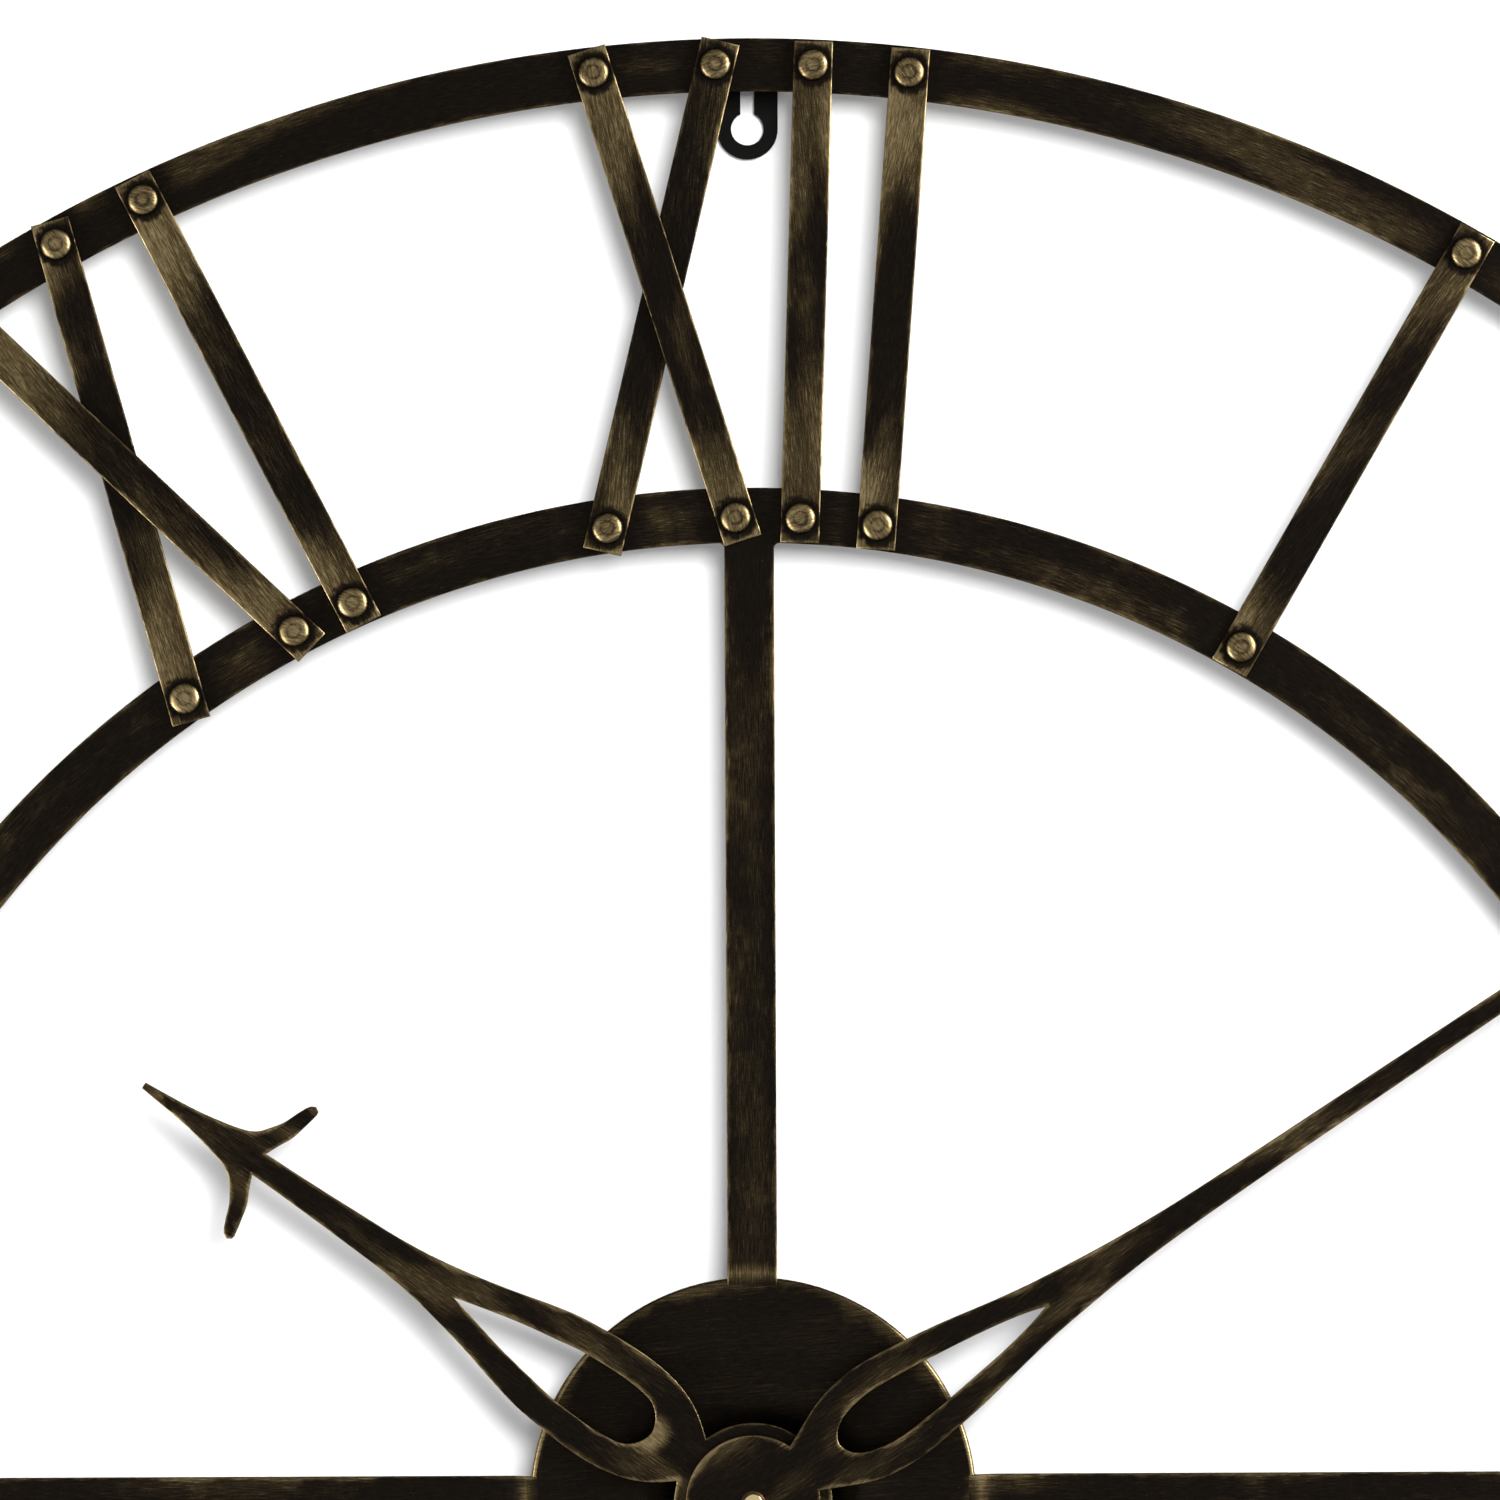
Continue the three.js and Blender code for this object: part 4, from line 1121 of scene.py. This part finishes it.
# %% Make the plain materials
def plain(name, dark, light, metallic, roughness, depth=0.01 * mm, specular=0.5, **values):
    """A material between two close colours, rougher and smoother in the same places."""
    material, bench, shader = new_material(name, light)
    finish = bench.add("Group", node_tree=surface)
    bench.join(bench.add("TexCoord").outputs["Object"], finish.inputs["Place"])
    for title, value in values.items():
        bench.join(value, finish.inputs[title.replace("_", " ")])
    share = finish.outputs["Share"]
    bench.join(bench.mix(share, (*dark, 1), (*light, 1)), shader.inputs["Base Color"])
    spread = 0.06
    gloss = bench.ramp(share, 0.0, 1.0, roughness + spread, roughness - spread)
    bench.join(gloss, shader.inputs["Roughness"])
    bump = bench.add("Bump", {
        "Height": finish.outputs["Height"], "Distance": depth, "Strength": 0.5,
    })
    bench.join(bump.outputs[0], shader.inputs["Normal"])
    shader.inputs["Metallic"].default_value = metallic
    shader.inputs["Specular IOR Level"].default_value = specular
    return material


nut_brass = plain("polished brass", (0.74, 0.54, 0.26), (0.88, 0.70, 0.38), 1, 0.24, 0.004 * mm)
gear_brass = plain("turned brass", (0.36, 0.25, 0.10), (0.50, 0.36, 0.16), 1, 0.3)
black_steel = plain("black satin steel", (0.003, 0.003, 0.003), (0.007, 0.0065, 0.006), 0, 0.42,
                    specular=0.04, Cloud_Size=20 * mm)
moulded = plain("black moulded plastic", (0.026, 0.026, 0.027), (0.05, 0.05, 0.052), 0, 0.5,
                0.03 * mm, Grain_Size=0.45 * mm, Grain=0.5)
black_rubber = plain("black rubber", (0.010, 0.010, 0.010), (0.02, 0.02, 0.02), 0, 0.75, 0.03 * mm)
white_plastic = plain("white gear plastic", (0.72, 0.71, 0.67), (0.82, 0.81, 0.78), 0, 0.38)
steel = plain("bright steel", (0.40, 0.40, 0.39), (0.60, 0.60, 0.58), 1, 0.3)
copper = plain("wound copper", (0.42, 0.13, 0.05), (0.72, 0.30, 0.14), 1, 0.3, 0.05 * mm,
               Grain_Size=0.25 * mm, Grain=0.6)
board = plain("green circuit board", (0.01, 0.07, 0.03), (0.02, 0.12, 0.05), 0, 0.35)

for part, finish in (
    (hand_nut, nut_brass), (bush_nut, gear_brass), (hanger, black_steel), (gasket, black_rubber),
    (front_case, moulded), (back_cover, moulded), (knob, moulded), (battery, moulded),
):
    part.data.materials.append(finish)
print("plain materials on", [part.name for part in softened])

# %% [markdown]
# The train, motor, board and contacts sit inside the closed case. Their engineering
# meshes are good enough as they are, so they stay and only get a finish. The material
# is linked to the object and not to its mesh, which leaves the mesh untouched.

# %% Finish the engineering parts that stay
kept = {
    "stator": steel, "coil": copper, "circuit_board": board, "contact_positive": steel,
    "contact_negative": steel, "centre_wheel": gear_brass, "hour_wheel": white_plastic,
    "minute_wheel": white_plastic, "third_wheel": white_plastic, "seconds_wheel": white_plastic,
    "intermediate_wheel": white_plastic, "rotor": steel,
}
for node, finish in kept.items():
    for held in nodes[node].material_slots:
        held.link = "OBJECT"
        held.material = finish
print("kept parts:", sorted(kept))

# %% [markdown]
# ## Wall, light and camera
#
# The clock hangs on a plain white wall in even daylight. One broad light above and to
# the right throws the soft shadow, a pale surrounding light fills it, and two slim
# lights at the sides exist only for the metal: they give rounded edges and rivet heads
# something to reflect. The wall is clear from behind and bounces no light, so that the
# back of the clock can be looked at too.

# %% Wall
half, gap = 1.6, 0.6 * mm
corners = [(-half, gap, -half), (half, gap, -half), (half, gap, half), (-half, gap, half)]
wall_mesh = bpy.data.meshes.new("wall")
wall_mesh.from_pydata(corners, [], [(0, 1, 2, 3)])
wall = bpy.data.objects.new("wall", wall_mesh)
bpy.context.scene.collection.objects.link(wall)
white = (0.9, 0.9, 0.9)
paint, bench, shader = new_material("white wall paint", white)
shader.inputs["Base Color"].default_value = (*white, 1)
shader.inputs["Roughness"].default_value = 0.9
shader.inputs["Specular IOR Level"].default_value = 0.0
seen = bench.add("MixShader", {
    0: bench.add("NewGeometry").outputs["Backfacing"], 1: shader.outputs[0],
    2: bench.add("BsdfTransparent").outputs[0],
})
bench.join(seen.outputs[0], paint.node_tree.nodes["Material Output"].inputs["Surface"])
wall_mesh.materials.append(paint)
wall.visible_diffuse = wall.visible_glossy = wall.visible_shadow = False
print(f"wall {gap / mm:.1f} mm behind the clock, {2 * half:.1f} m square")

# %% [markdown]
# An area light's size sets how soft its shadow is, and its two switches say whether it
# lights plain surfaces, shows in shiny ones, or both. The broad key would put a square
# glare on the flat metal, so it only lights, and the slim lights only shine.

# %% Lights
def area_light(name, place, width, height, power, diffuse=True, glossy=True):
    """A rectangle of light aimed at the upper half of the dial."""
    aim = Vector((0, 0, 0.1))
    lamp = bpy.data.lights.new(name, "AREA")
    lamp.shape, lamp.size, lamp.size_y, lamp.energy = "RECTANGLE", width, height, power
    holder = bpy.data.objects.new(name, lamp)
    holder.location = place
    holder.rotation_euler = (aim - holder.location).to_track_quat("-Z", "Y").to_euler()
    holder.visible_camera, holder.visible_diffuse, holder.visible_glossy = False, diffuse, glossy
    bpy.context.scene.collection.objects.link(holder)


area_light("broad key", (0.42, -2.2, 0.66), 0.75, 0.75, 60, glossy=False)
area_light("right glint", (1.4, -0.7, 0.6), 0.4, 1.2, 55, diffuse=False)
area_light("left glint", (-1.4, -0.7, -0.6), 0.4, 1.2, 42, diffuse=False)
print("lights:", [lamp.name for lamp in bpy.data.lights])

# %% [markdown]
# The pale room lights everything evenly, but dark metal that mirrored it evenly would
# look flat and grey. In reflections the room is therefore brightest straight behind
# and in front, and dim at the sides, where only the slim lights stand.

# %% The pale room
fill = 0.6
world = bpy.data.worlds.new("pale room")
world.use_nodes = True
room = world.node_tree.nodes["Background"]
bench = Bench(world.node_tree)
direction = bench.add("TexCoord").outputs["Generated"]
facing = bench.add("SeparateXYZ", {"Vector": direction}).outputs["Y"]
in_metal = bench.ramp(bench.maths("ABSOLUTE", facing), 0.1, 0.95, 0.10, 0.64)
glossy = bench.add("LightPath").outputs["Is Glossy Ray"]
change = bench.times(bench.maths("SUBTRACT", in_metal, fill), glossy)
bench.join(bench.total(fill, change), room.inputs["Strength"])
room.inputs["Color"].default_value = (1, 1, 1, 1)
bpy.context.scene.world = world
bpy.context.scene.view_settings.view_transform = "Standard"
print(f"room at {fill} for plain surfaces")

# %% [markdown]
# The camera looks straight at the wall from two metres away, at the upper half of the
# dial, with the hub on the lower edge of what it sees. A lens is as long as its sensor
# is wide, times the distance, over the width seen there.

# %% Camera
seen_width, distance = 410.4 * mm, 2.0
camera_data = bpy.data.cameras.new("camera")
camera_data.sensor_width = 36
camera_data.lens = camera_data.sensor_width * distance / seen_width
camera_data.clip_start, camera_data.clip_end = 0.05, 20
camera = bpy.data.objects.new("camera", camera_data)
camera.location = (0, -distance - ring_front, seen_width / 2)
camera.rotation_euler = (math.radians(90), math.radians(0.25), 0)
bpy.context.scene.collection.objects.link(camera)
bpy.context.scene.camera = camera
print(f"camera sees {seen_width / mm:.0f} mm across")

# %% [markdown]
# The last cell brings the scene up to date.

# %% Finish
bpy.context.view_layer.update()
